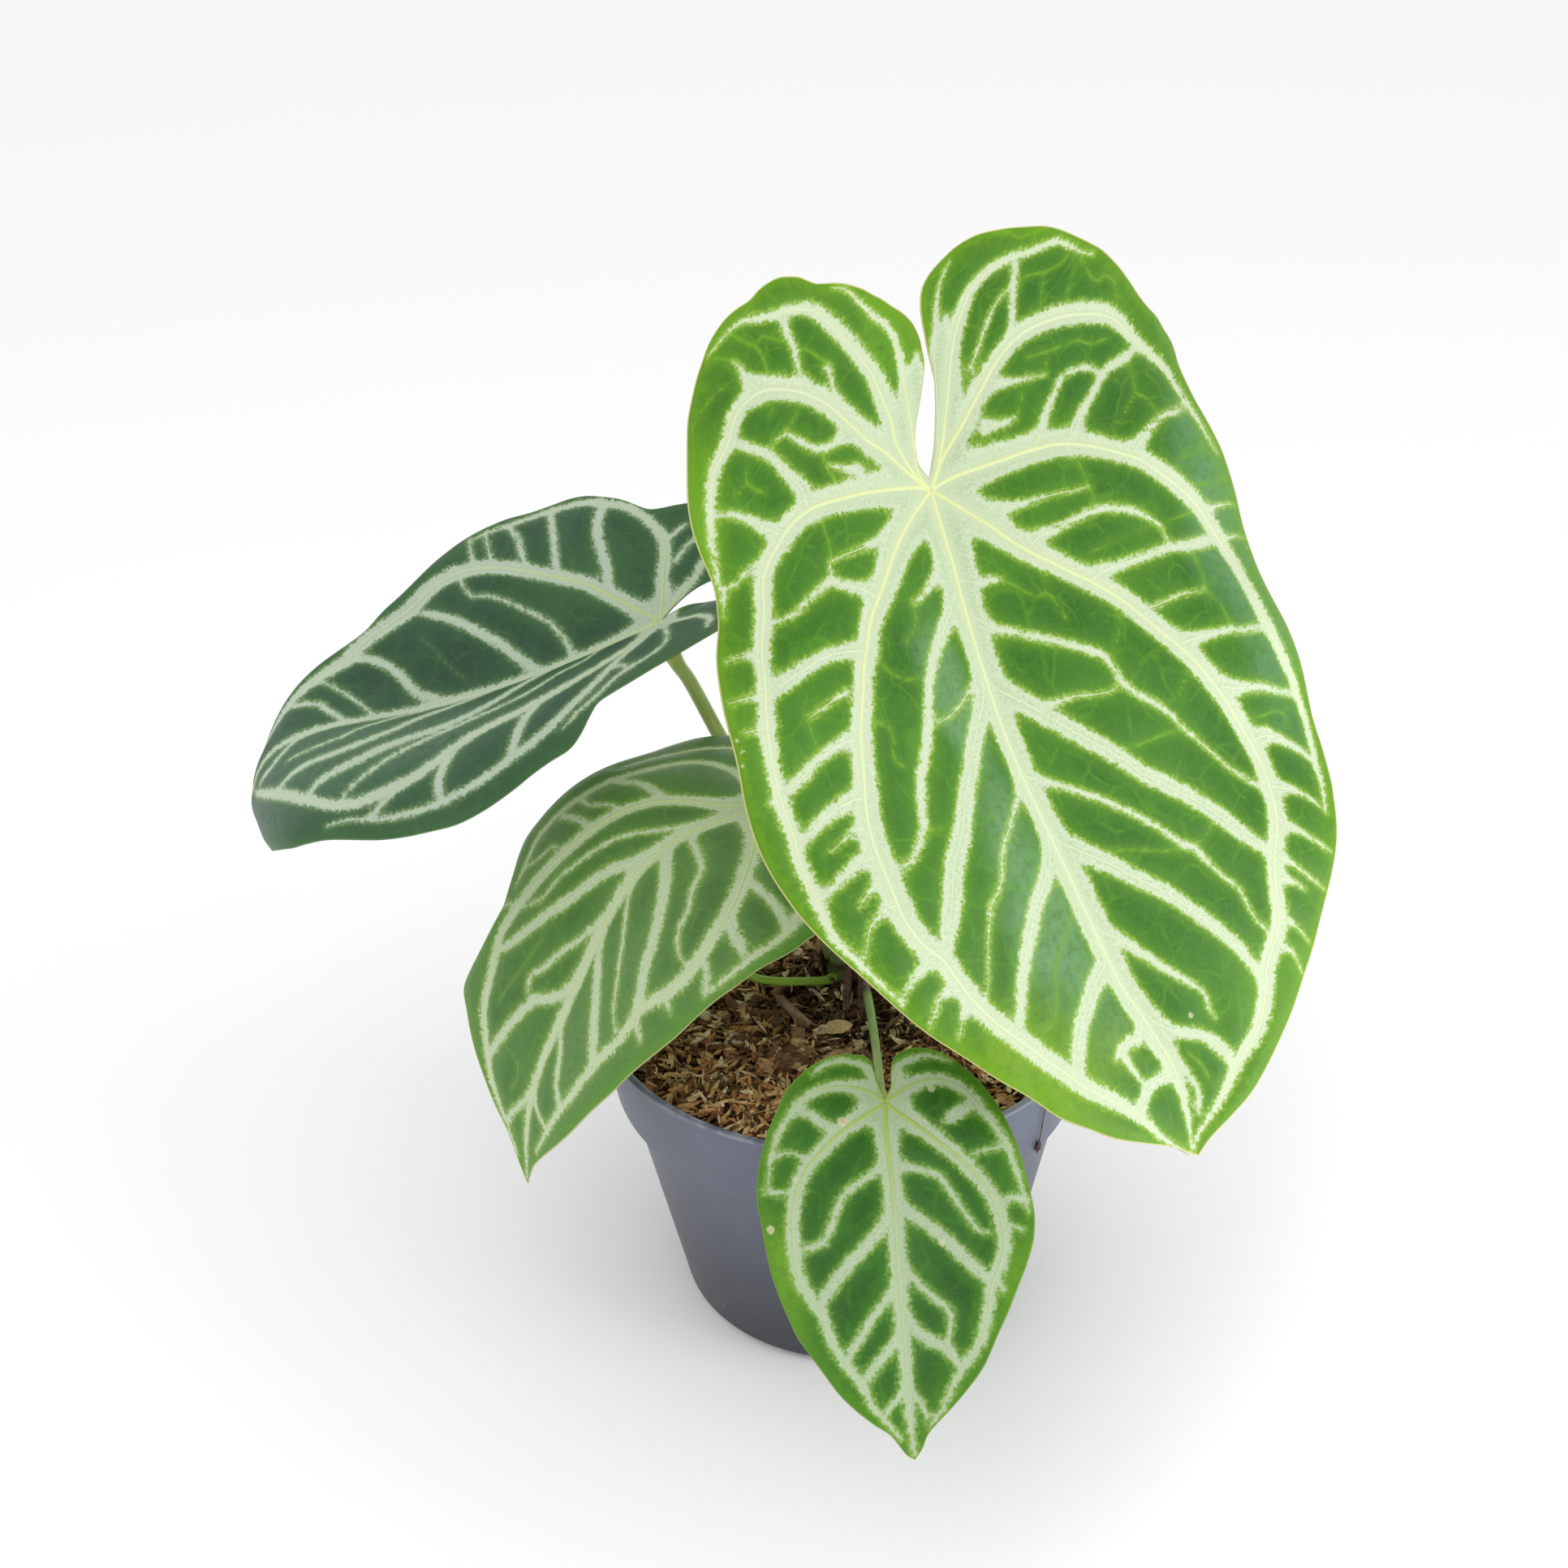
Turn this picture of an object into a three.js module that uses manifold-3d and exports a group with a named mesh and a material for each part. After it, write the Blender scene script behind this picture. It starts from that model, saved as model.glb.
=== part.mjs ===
// Potted silver blush anthurium: a plastic nursery pot of coir and wood chips, and a
// short stem with four heart-shaped leaves on long petioles. Millimetres and degrees,
// +Z up. The origin is the middle of the pot's flat base, on the surface it stands on.
import * as THREE from "three";
import * as BufferGeometryUtils from "three/addons/utils/BufferGeometryUtils.js";
import Module from "manifold-3d";

// Driving dimensions of the pot and its filling
const POT_HEIGHT = 84;
const RIM_RADIUS = 60;
const COLLAR_HEIGHT = 22;
const COLLAR_FOOT_RADIUS = 57;
const BODY_TOP_RADIUS = 54;
const BASE_RADIUS = 42;
const BASE_CHAMFER = 2.5;
const WALL = 1.4;
const FLOOR = 1.8;
const LIP = 0.5;
const LIP_HEIGHT = 1.6;
const DRAIN_HOLES = 8;
const DRAIN_RADIUS = 4;
const DRAIN_CIRCLE = 27;
const SOIL_LEVEL = 79;
const SOIL_RELIEF = 0.66;
const MOUND_HEIGHT = 1.2;
const MOUND_SPREAD = 16;
const CLEARANCE = 0.4;
const SEAT = 0.6;
const POT_SIDES = 48;

// Driving dimensions of the plant
const BLADE_THICKNESS = 0.8;
const MIDRIB_WIDTH = 1.1;
const MIDRIB_TOP = 0.7;
const MIDRIB_DEPTH = 2.1;
const RIB_WIDTH = 0.8;
const RIB_TOP = 0.05;
const RIB_DEPTH = 1.5;
const PAST_JOINT = 1.2;
const FINE = 0.05;
const STEM_X = 0.5;
const STEM_Y = 11;
const STEM_RADIUS = 5.2;
const STEM_FOOT = 62;
const STEM_COLLAR = 77;
const STEM_TOP = 90;

const wasm = await Module();
wasm.setup();

// Turns a closed geometry into a solid that can be cut and joined
function solid(geometry) {
  const bare = geometry.clone();
  bare.deleteAttribute("normal");
  bare.deleteAttribute("uv");
  const merged = BufferGeometryUtils.mergeVertices(bare, 1e-4);
  return new wasm.Manifold(new wasm.Mesh({
    numProp: 3,
    vertProperties: new Float32Array(merged.attributes.position.array),
    triVerts: new Uint32Array(merged.index.array),
  }));
}

// Turns a solid back into a geometry
function geometryOf(body) {
  const mesh = body.getMesh();
  const geometry = new THREE.BufferGeometry();
  geometry.setAttribute("position", new THREE.BufferAttribute(new Float32Array(mesh.vertProperties), 3));
  geometry.setIndex(new THREE.BufferAttribute(new Uint32Array(mesh.triVerts), 1));
  geometry.computeVertexNormals();
  return geometry;
}

// Joins many solids, two at a time
function join(solids) {
  let layer = solids;
  while (layer.length > 1) {
    const next = [];
    for (let i = 0; i < layer.length; i += 2) {
      next.push(i + 1 < layer.length ? layer[i].add(layer[i + 1]) : layer[i]);
    }
    layer = next;
  }
  return layer[0];
}

// Seeded random numbers between 0 and 1
function seeded(seed) {
  let state = seed;
  return () => {
    state = (state + 0x6d2b79f5) | 0;
    let t = Math.imul(state ^ (state >>> 15), 1 | state);
    t = (t + Math.imul(t ^ (t >>> 7), 61 | t)) ^ t;
    return ((t ^ (t >>> 14)) >>> 0) / 4294967296;
  };
}

// Smooth curve through values at stations: a cubic piece a span, with the slope at each
// station from its two neighbours weighted by the spans between them
function smooth(stations, values) {
  const last = stations.length - 1;
  const slopes = stations.map((_, i) => {
    if (i === 0) return (values[1] - values[0]) / (stations[1] - stations[0]);
    if (i === last) return (values[last] - values[last - 1]) / (stations[last] - stations[last - 1]);
    const before = stations[i] - stations[i - 1];
    const after = stations[i + 1] - stations[i];
    const rise = (values[i + 1] - values[i]) / after;
    const fall = (values[i] - values[i - 1]) / before;
    return (before * rise + after * fall) / (before + after);
  });
  return (x) => {
    let i = 0;
    while (i < last - 1 && x >= stations[i + 1]) i += 1;
    const span = stations[i + 1] - stations[i];
    const t = Math.min(1.5, Math.max(-0.5, (x - stations[i]) / span));
    const t2 = t * t;
    const t3 = t2 * t;
    return (2 * t3 - 3 * t2 + 1) * values[i] + (t3 - 2 * t2 + t) * span * slopes[i]
      + (3 * t2 - 2 * t3) * values[i + 1] + (t3 - t2) * span * slopes[i + 1];
  };
}

// Smooth line through flat points, a few steps a span
function curveThrough(points, steps) {
  const line = new THREE.CatmullRomCurve3(
    points.map(([x, y]) => new THREE.Vector3(x, y, 0)), false, "catmullrom", 0.5);
  const out = [];
  for (let i = 0; i <= (points.length - 1) * steps; i += 1) {
    const p = line.getPoint(i / ((points.length - 1) * steps));
    out.push([p.x, p.y]);
  }
  return out;
}

// Every leaf is a flat heart bent through space. u runs along the midrib, 0 where the
// petiole joins and 1 at the tip, and v across it in half widths, v > 0 on the leaf's
// left. At these stations of u each leaf gives the pitch and heading of its midrib, its
// roll, its sideways bend, and each half's fold up from the midrib and curl over its width.
// The margin ripples up and down by ripple millimetres, so many waves to a leaf's length.
const STATIONS = [-0.4, 0, 0.3, 0.6, 0.8, 1];

const LARGE = {
  name: "large",
  finish: "bright",
  length: 155.5,
  width: 62,
  joint: [20.6, 6.6, 213],
  pitch: [-52, -44, -50, -54, -56, -58],
  heading: -54.7,
  roll: [0, 0, 0, 0, 0, 0],
  bend: [0.54, 0, -0.13, -0.08, -0.03, 0],
  foldLeft: [6, 8, 10, 10, 9, 6],
  curlLeft: [-14, -14, -18, -20, -20, -20],
  foldRight: [14, 18, 20, 18, 14, 10],
  curlRight: [-20, -22, -24, -26, -26, -26],
  ripple: 1.3,
  waves: 3.1,
  phase: 0.15,
  rows: 26,
  columns: 4,
  left: [
    [0, -0.017], [0.02, -0.035], [0.045, -0.07], [0.058, -0.105], [0.056, -0.137], [0.036, -0.165],
    [0.01, -0.197], [-0.025, -0.232], [-0.045, -0.262], [-0.04, -0.285], [-0.015, -0.303],
    [0.04, -0.322], [0.11, -0.334], [0.21, -0.342], [0.34, -0.34], [0.48, -0.333], [0.58, -0.319],
    [0.665, -0.302], [0.77, -0.285], [0.87, -0.255], [0.955, -0.22], [1.04, -0.184], [1.12, -0.143],
    [1.18, -0.11], [1.225, -0.06], [1.27, -0.005], [1.32, 0.05], [1.353, 0.1], [1.373, 0.14],
    [1.378, 0.18], [1.366, 0.23], [1.344, 0.275], [1.336, 0.317], [1.349, 0.37], [1.361, 0.418],
    [1.358, 0.46], [1.34, 0.5], [1.31, 0.547], [1.24, 0.6], [1.208, 0.618], [1.115, 0.672],
    [1.02, 0.716], [0.903, 0.763], [0.8, 0.804], [0.7, 0.838], [0.597, 0.872], [0.504, 0.899],
    [0.393, 0.929], [0.291, 0.953], [0.173, 0.971], [0.071, 0.985], [0, 1],
  ],
  right: [
    [0, -0.017], [-0.03, -0.04], [-0.045, -0.07], [-0.045, -0.1], [-0.03, -0.12], [-0.013, -0.145],
    [-0.003, -0.17], [-0.008, -0.193], [-0.03, -0.215], [-0.06, -0.235], [-0.1, -0.255],
    [-0.19, -0.28], [-0.3, -0.295], [-0.4, -0.31], [-0.49, -0.318], [-0.59, -0.325], [-0.65, -0.34],
    [-0.73, -0.344], [-0.8, -0.34], [-0.86, -0.325], [-0.93, -0.31], [-0.98, -0.29], [-1.01, -0.27],
    [-1.03, -0.24], [-1.045, -0.21], [-1.055, -0.17], [-1.053, -0.12], [-1.05, -0.08],
    [-1.045, -0.04], [-1.03, 0], [-1.015, 0.03], [-1.005, 0.07], [-1.015, 0.1], [-1.06, 0.14],
    [-1.09, 0.18], [-1.11, 0.22], [-1.12, 0.28], [-1.13, 0.33], [-1.13, 0.39], [-1.12, 0.44],
    [-1.1, 0.49], [-1.05, 0.545], [-0.93, 0.631], [-0.845, 0.685], [-0.76, 0.73], [-0.675, 0.777],
    [-0.59, 0.817], [-0.506, 0.861], [-0.404, 0.895], [-0.32, 0.922], [-0.2, 0.949], [-0.1, 0.97],
    [-0.034, 0.99], [0, 1],
  ],
  midrib: [[0, 0], [0.012, 0.1], [0.012, 0.2], [0, 0.3], [-0.02, 0.4], [-0.03, 0.5], [-0.038, 0.6],
    [-0.04, 0.7], [-0.03, 0.8], [0, 0.87], [0.01, 0.92], [-0.01, 0.97]],
  ribs: [
    [[0, 0], [0.19, -0.1], [0.41, -0.181], [0.6, -0.189], [0.8, -0.177], [0.99, -0.126], [1.16, -0.06]],
    [[0, 0], [0.34, -0.006], [0.61, -0.001], [0.89, 0.053], [1.09, 0.141], [1.17, 0.235], [1.25, 0.37]],
    [[0, 0], [0.24, 0.1], [0.46, 0.18], [0.7, 0.29], [0.88, 0.425], [0.93, 0.51], [0.9, 0.584],
      [0.75, 0.685], [0.55, 0.794]],
    [[0, 0.28], [0.17, 0.35], [0.34, 0.418], [0.55, 0.533], [0.77, 0.65]],
    [[-0.03, 0.5], [0.17, 0.594], [0.34, 0.679], [0.5, 0.78]],
    [[0, 0], [-0.2, -0.069], [-0.42, -0.14], [-0.61, -0.184], [-0.78, -0.193], [-0.9, -0.16],
      [-0.96, -0.07]],
    [[0, 0], [-0.11, -0.07], [-0.28, -0.177], [-0.42, -0.238], [-0.55, -0.28], [-0.73, -0.296]],
    [[0, 0], [-0.25, -0.011], [-0.52, -0.011], [-0.71, 0.012], [-0.84, 0.107], [-0.95, 0.215],
      [-1.01, 0.344]],
    [[0, 0], [-0.2, 0.06], [-0.39, 0.14], [-0.57, 0.235], [-0.69, 0.33], [-0.76, 0.459], [-0.75, 0.554],
      [-0.63, 0.685], [-0.45, 0.794]],
    [[0, 0.26], [-0.18, 0.34], [-0.4, 0.438], [-0.61, 0.54]],
    [[-0.03, 0.49], [-0.2, 0.554], [-0.39, 0.631], [-0.48, 0.692]],
  ],
};

const SMALL = {
  name: "small",
  finish: "bright",
  length: 73.4,
  width: 28,
  joint: [8.3, -74.6, 108.9],
  pitch: [-24, -27, -32, -37, -41, -46],
  heading: -85.9,
  roll: [0, 0, 0, 0, 0, 0],
  bend: [0.018, 0, 0.015, 0.004, 0.001, 0],
  foldLeft: [6, 8, 10, 10, 9, 8],
  curlLeft: [-16, -16, -16, -16, -16, -16],
  foldRight: [6, 8, 10, 10, 9, 8],
  curlRight: [-16, -16, -16, -16, -16, -16],
  ripple: 0.6,
  waves: 2.6,
  phase: 0.1,
  rows: 18,
  columns: 3,
  left: [
    [0, -0.006], [0.038, -0.03], [0.056, -0.064], [0.061, -0.098], [0.083, -0.132], [0.128, -0.153],
    [0.217, -0.166], [0.33, -0.164], [0.44, -0.149], [0.55, -0.119], [0.663, -0.077], [0.753, -0.03],
    [0.83, 0.026], [0.887, 0.081], [0.942, 0.149], [0.976, 0.226], [0.998, 0.302], [1.005, 0.362],
    [0.987, 0.422], [0.954, 0.464], [0.898, 0.515], [0.83, 0.567], [0.753, 0.626], [0.663, 0.686],
    [0.552, 0.762], [0.44, 0.814], [0.306, 0.865], [0.183, 0.907], [0.105, 0.937], [0.061, 0.971],
    [0, 1],
  ],
  right: [
    [0, -0.006], [-0.04, -0.038], [-0.05, -0.072], [-0.067, -0.106], [-0.084, -0.136],
    [-0.14, -0.151], [-0.23, -0.157], [-0.34, -0.156], [-0.45, -0.145], [-0.56, -0.119],
    [-0.675, -0.081], [-0.765, -0.038], [-0.83, 0.013], [-0.9, 0.064], [-0.965, 0.132],
    [-1.01, 0.2], [-1.033, 0.277], [-1.017, 0.33], [-0.995, 0.396], [-0.96, 0.473], [-0.91, 0.541],
    [-0.854, 0.6], [-0.79, 0.66], [-0.71, 0.707], [-0.62, 0.758], [-0.52, 0.814], [-0.408, 0.86],
    [-0.274, 0.903], [-0.174, 0.929], [-0.118, 0.954], [-0.06, 0.985], [0, 1],
  ],
  midrib: [[0, 0], [-0.02, 0.1], [-0.02, 0.3], [-0.02, 0.5], [-0.015, 0.7], [-0.02, 0.85], [0, 0.96]],
  ribs: [
    [[0, 0], [0.24, 0.085], [0.46, 0.17], [0.65, 0.264], [0.757, 0.379], [0.764, 0.447], [0.64, 0.558],
      [0.56, 0.677]],
    [[0, 0], [0.217, -0.051], [0.46, -0.053], [0.65, 0.004], [0.775, 0.081], [0.887, 0.183]],
    [[-0.02, 0.29], [0.195, 0.366], [0.46, 0.473], [0.63, 0.537]],
    [[-0.02, 0.6], [0.172, 0.69], [0.351, 0.754]],
    [[0, 0], [-0.25, 0.056], [-0.5, 0.132], [-0.69, 0.217], [-0.776, 0.328], [-0.77, 0.464],
      [-0.64, 0.575], [-0.55, 0.669]],
    [[0, 0], [-0.185, -0.047], [-0.41, -0.053], [-0.62, -0.021], [-0.776, 0.051], [-0.888, 0.141]],
    [[-0.02, 0.31], [-0.207, 0.405], [-0.43, 0.49], [-0.598, 0.575]],
    [[-0.02, 0.52], [-0.163, 0.588], [-0.33, 0.669], [-0.43, 0.72]],
  ],
};

const MIDDLE = {
  name: "middle",
  finish: "muted",
  length: 115.9,
  width: 45,
  joint: [-18.8, 5.2, 133.5],
  pitch: [9.7, 6.6, -36.7, -49.4, -74.1, -89.7],
  heading: -141.5,
  roll: [-4, -4, -4, -4, -4, -4],
  bend: [0, 0, -0.14, -0.03, -0.02, 0],
  foldLeft: [10, 10, 12, 12, 8, 4],
  curlLeft: [-34, -34, -34, -30, -22, -14],
  foldRight: [6, 6, 6, 8, 8, 4],
  curlRight: [-30, -30, -34, -34, -24, -14],
  ripple: 0.9,
  waves: 2.8,
  phase: 0.3,
  rows: 20,
  columns: 4,
  left: [
    [0, -0.01], [0.03, -0.05], [0.05, -0.1], [0.04, -0.16], [0.06, -0.22], [0.15, -0.26],
    [0.3, -0.275], [0.48, -0.26], [0.66, -0.21], [0.8, -0.14], [0.91, -0.05], [0.965, 0.05],
    [0.996, 0.159], [1.02, 0.21], [1.02, 0.252], [0.996, 0.296], [0.959, 0.346], [0.904, 0.389],
    [0.839, 0.44], [0.774, 0.497], [0.709, 0.547], [0.644, 0.601], [0.58, 0.662], [0.496, 0.72],
    [0.394, 0.785], [0.283, 0.842], [0.172, 0.892], [0.08, 0.936], [0.033, 0.97], [0, 1],
  ],
  right: [
    [0, -0.01], [-0.02, -0.05], [-0.03, -0.11], [-0.02, -0.17], [-0.06, -0.23], [-0.16, -0.265],
    [-0.32, -0.275], [-0.53, -0.255], [-0.76, -0.2], [-0.91, -0.11], [-0.93, -0.03], [-0.9, 0.03],
    [-0.874, 0.087], [-0.856, 0.16], [-0.856, 0.21], [-0.869, 0.26], [-0.902, 0.317],
    [-0.943, 0.368], [-0.92, 0.404], [-0.846, 0.447], [-0.79, 0.483], [-0.754, 0.511],
    [-0.75, 0.555], [-0.744, 0.612], [-0.744, 0.677], [-0.717, 0.702], [-0.624, 0.727],
    [-0.494, 0.77], [-0.365, 0.813], [-0.254, 0.857], [-0.143, 0.9], [-0.069, 0.95],
    [-0.022, 0.985], [0, 1],
  ],
  midrib: [[0, 0], [0.025, 0.08], [0.015, 0.2], [0.02, 0.35], [0.02, 0.5], [0.035, 0.62], [0.03, 0.72],
    [0.01, 0.85], [0, 0.96]],
  ribs: [
    [[0, 0], [0.25, 0.08], [0.49, 0.159], [0.644, 0.245], [0.694, 0.346], [0.617, 0.447],
      [0.496, 0.526], [0.385, 0.662]],
    [[0, 0], [0.3, 0.03], [0.55, 0.06], [0.75, 0.1], [0.88, 0.17], [0.922, 0.281], [0.84, 0.389]],
    [[0.015, 0.2], [0.191, 0.26], [0.357, 0.339], [0.469, 0.468]],
    [[0.02, 0.42], [0.135, 0.49], [0.283, 0.576], [0.385, 0.641]],
    [[0, 0], [-0.18, 0.102], [-0.337, 0.181], [-0.42, 0.274], [-0.5, 0.368], [-0.606, 0.461],
      [-0.643, 0.562], [-0.54, 0.648], [-0.42, 0.734]],
    [[0, 0], [-0.2, -0.03], [-0.4, -0.03], [-0.606, 0.044], [-0.661, 0.159], [-0.744, 0.281],
      [-0.8, 0.368]],
    [[0.015, 0.22], [-0.124, 0.317], [-0.272, 0.418], [-0.439, 0.511], [-0.58, 0.576]],
    [[0.02, 0.52], [-0.106, 0.598], [-0.217, 0.648], [-0.309, 0.741]],
  ],
};

const DARK = {
  name: "dark",
  finish: "muted",
  length: 130.3,
  width: 45,
  joint: [-44.1, 48.8, 160.2],
  pitch: [-4.6, -14.5, -10.6, -2.4, -57.1, -149.5],
  heading: -161.5,
  roll: [-16, -16, -16, -14, -10, -6],
  bend: [0, 0, 0.02, 0.05, -0.01, 0],
  foldLeft: [40, 40, 38, 24, 10, 4],
  curlLeft: [-34, -38, -50, -45, -20, -10],
  foldRight: [16, 16, 16, 12, -24, -34],
  curlRight: [-20, -20, -20, -20, -20, -14],
  ripple: 0.9,
  waves: 2.9,
  phase: 0.05,
  rows: 22,
  columns: 4,
  left: [
    [0, -0.01], [-0.018, -0.027], [-0.028, -0.055], [-0.01, -0.085], [0.06, -0.13], [0.16, -0.17],
    [0.29, -0.185], [0.42, -0.165], [0.52, -0.11], [0.575, -0.053], [0.602, -0.021], [0.63, 0.017],
    [0.648, 0.056], [0.667, 0.1], [0.676, 0.139], [0.691, 0.174], [0.75, 0.197], [0.833, 0.225],
    [0.889, 0.254], [0.907, 0.292], [0.935, 0.331], [0.972, 0.369], [1.009, 0.42], [1.022, 0.471],
    [1, 0.522], [0.98, 0.58], [0.963, 0.631], [0.935, 0.682], [0.898, 0.721], [0.843, 0.765],
    [0.768, 0.804], [0.69, 0.83], [0.58, 0.86], [0.43, 0.895], [0.27, 0.93], [0.12, 0.965], [0, 1],
  ],
  right: [
    [0, -0.01], [-0.046, -0.037], [-0.083, -0.066], [-0.106, -0.091], [-0.117, -0.117],
    [-0.12, -0.15], [-0.14, -0.19], [-0.2, -0.225], [-0.31, -0.245], [-0.44, -0.24], [-0.57, -0.21],
    [-0.66, -0.165], [-0.69, -0.13], [-0.705, -0.1], [-0.73, -0.078], [-0.787, -0.062],
    [-0.88, -0.04], [-0.972, -0.008], [-1.037, 0.017], [-1.083, 0.049], [-1.106, 0.088],
    [-1.117, 0.132], [-1.124, 0.177], [-1.102, 0.216], [-1.074, 0.254], [-1.03, 0.305],
    [-0.972, 0.356], [-0.898, 0.401], [-0.806, 0.446], [-0.694, 0.497], [-0.565, 0.542],
    [-0.48, 0.59], [-0.42, 0.64], [-0.36, 0.7], [-0.29, 0.77], [-0.21, 0.84], [-0.12, 0.905], [0, 1],
  ],
  midrib: [[0, 0], [0.02, 0.1], [0.03, 0.2], [0.02, 0.3], [0, 0.4], [0.01, 0.5], [0.03, 0.6],
    [0.01, 0.72], [0, 0.83]],
  ribs: [
    [[0, 0], [0.194, 0.043], [0.324, 0.113], [0.407, 0.209], [0.463, 0.305], [0.491, 0.395],
      [0.602, 0.484], [0.685, 0.561], [0.728, 0.637], [0.528, 0.74]],
    [[0, 0], [0.25, 0.049], [0.491, 0.145], [0.694, 0.267], [0.824, 0.395], [0.87, 0.49], [0.86, 0.6]],
    [[0.05, 0.22], [0.231, 0.331], [0.324, 0.439], [0.38, 0.555], [0.472, 0.65]],
    [[0, 0], [-0.176, 0.037], [-0.398, 0.088], [-0.583, 0.158], [-0.75, 0.235], [-0.82, 0.312],
      [-0.778, 0.388], [-0.648, 0.452], [-0.5, 0.54]],
    [[0, 0], [-0.176, -0.034], [-0.398, -0.069], [-0.602, -0.072], [-0.806, -0.043], [-0.972, 0.017],
      [-1.06, 0.107]],
    [[0, 0.25], [-0.25, 0.292], [-0.491, 0.356], [-0.62, 0.42]],
    [[0, 0.43], [-0.23, 0.497], [-0.38, 0.555]],
  ],
};

const radians = THREE.MathUtils.degToRad;

// The place in space of flat leaf coordinates, and the direction that the top face looks
function sheet(leaf) {
  const pitch = smooth(STATIONS, leaf.pitch);
  const roll = smooth(STATIONS, leaf.roll);
  const bend = smooth(STATIONS, leaf.bend);
  const fold = { 1: smooth(STATIONS, leaf.foldLeft), "-1": smooth(STATIONS, leaf.foldRight) };
  const curl = { 1: smooth(STATIONS, leaf.curlLeft), "-1": smooth(STATIONS, leaf.curlRight) };
  const heading = radians(leaf.heading);
  const joint = new THREE.Vector3(...leaf.joint);
  const along = (u) => {
    const p = radians(pitch(u));
    return new THREE.Vector3(Math.cos(p) * Math.cos(heading), Math.cos(p) * Math.sin(heading), Math.sin(p));
  };
  const START = -0.5;
  const STEPS = 400;
  const STEP = (1.05 - START) / STEPS;
  const axis = [new THREE.Vector3()];
  for (let i = 0; i < STEPS; i += 1) {
    axis.push(axis[i].clone().addScaledVector(along(START + (i + 0.5) * STEP), STEP * leaf.length));
  }
  const axisAt = (u) => {
    const place = Math.min(STEPS - 1e-6, Math.max(0, (u - START) / STEP));
    const i = Math.floor(place);
    return axis[i].clone().lerp(axis[i + 1], place - i);
  };
  const origin = axisAt(0);
  const point = (u, v) => {
    const side = v < 0 ? -1 : 1;
    const ahead = along(u);
    const level = new THREE.Vector3(-Math.sin(heading), Math.cos(heading), 0);
    const up = ahead.clone().cross(level);
    const turn = radians(roll(u));
    const across = level.clone().multiplyScalar(Math.cos(turn)).addScaledVector(up, Math.sin(turn));
    const normal = ahead.clone().cross(across);
    const a = radians(fold[side](u));
    const c = radians(curl[side](u));
    const t = Math.abs(v);
    const reach = (Math.sin(a + c * t) - Math.sin(a)) / c;
    const rise = (Math.cos(a) - Math.cos(a + c * t)) / c;
    const phase = 2 * Math.PI * (leaf.waves * u + (side > 0 ? leaf.phase : leaf.phase + 0.37));
    const wave = leaf.ripple * Math.min(t, 1.3) ** 2 * Math.sin(phase);
    return joint.clone().add(axisAt(u)).sub(origin)
      .addScaledVector(across, (bend(u) + side * reach) * leaf.width)
      .addScaledVector(normal, rise * leaf.width + wave);
  };
  const normal = (u, v) => {
    const E = 0.004;
    const pu = point(u + E, v).sub(point(u - E, v));
    const pv = point(u, v + E).sub(point(u, v - E));
    return pu.cross(pv).normalize();
  };
  return { point, normal };
}

// Where a line through flat points crosses a given u
function crossing(line, u) {
  for (let i = 0; i + 1 < line.length; i += 1) {
    const [v0, u0] = line[i];
    const [v1, u1] = line[i + 1];
    if ((u0 - u) * (u1 - u) <= 0 && u0 !== u1) return v0 + (v1 - v0) * (u - u0) / (u1 - u0);
  }
  return line[line.length - 1][0];
}

// One half of a blade as rows of flat points: the inner edge of the lobe, or the midrib,
// out to the margin. The first row is the lobe's top and the last is the tip.
function halfRows(leaf, side) {
  const outline = curveThrough(leaf[side], 4);
  let top = 0;
  outline.forEach(([, u], i) => { if (u < outline[top][1]) top = i; });
  const inner = outline.slice(0, top + 1);
  const outer = outline.slice(top);
  const sinus = leaf[side][0][1];
  const rows = [];
  const LOBE_SHARE = 0.32;
  const lobeRows = Math.round(leaf.rows * LOBE_SHARE);
  const topU = outline[top][1];
  for (let i = 1; i <= lobeRows; i += 1) {
    const u = topU + (sinus - topU) * (1 - Math.cos((Math.PI / 2) * (i / lobeRows)));
    rows.push([u, i === lobeRows ? 0 : crossing(inner, u), crossing(outer, u)]);
  }
  for (let i = 1; i < leaf.rows - lobeRows; i += 1) {
    const s = i / (leaf.rows - lobeRows);
    const u = sinus + (1 - sinus) * Math.sin((Math.PI / 2) * s) ** 0.92;
    rows.push([u, 0, crossing(outer, u)]);
  }
  const grid = rows.map(([u, near, far]) => {
    const line = [];
    for (let j = 0; j <= leaf.columns; j += 1) line.push([near + (far - near) * (j / leaf.columns), u]);
    return line;
  });
  return { topPoint: outline[top], grid };
}

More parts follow.
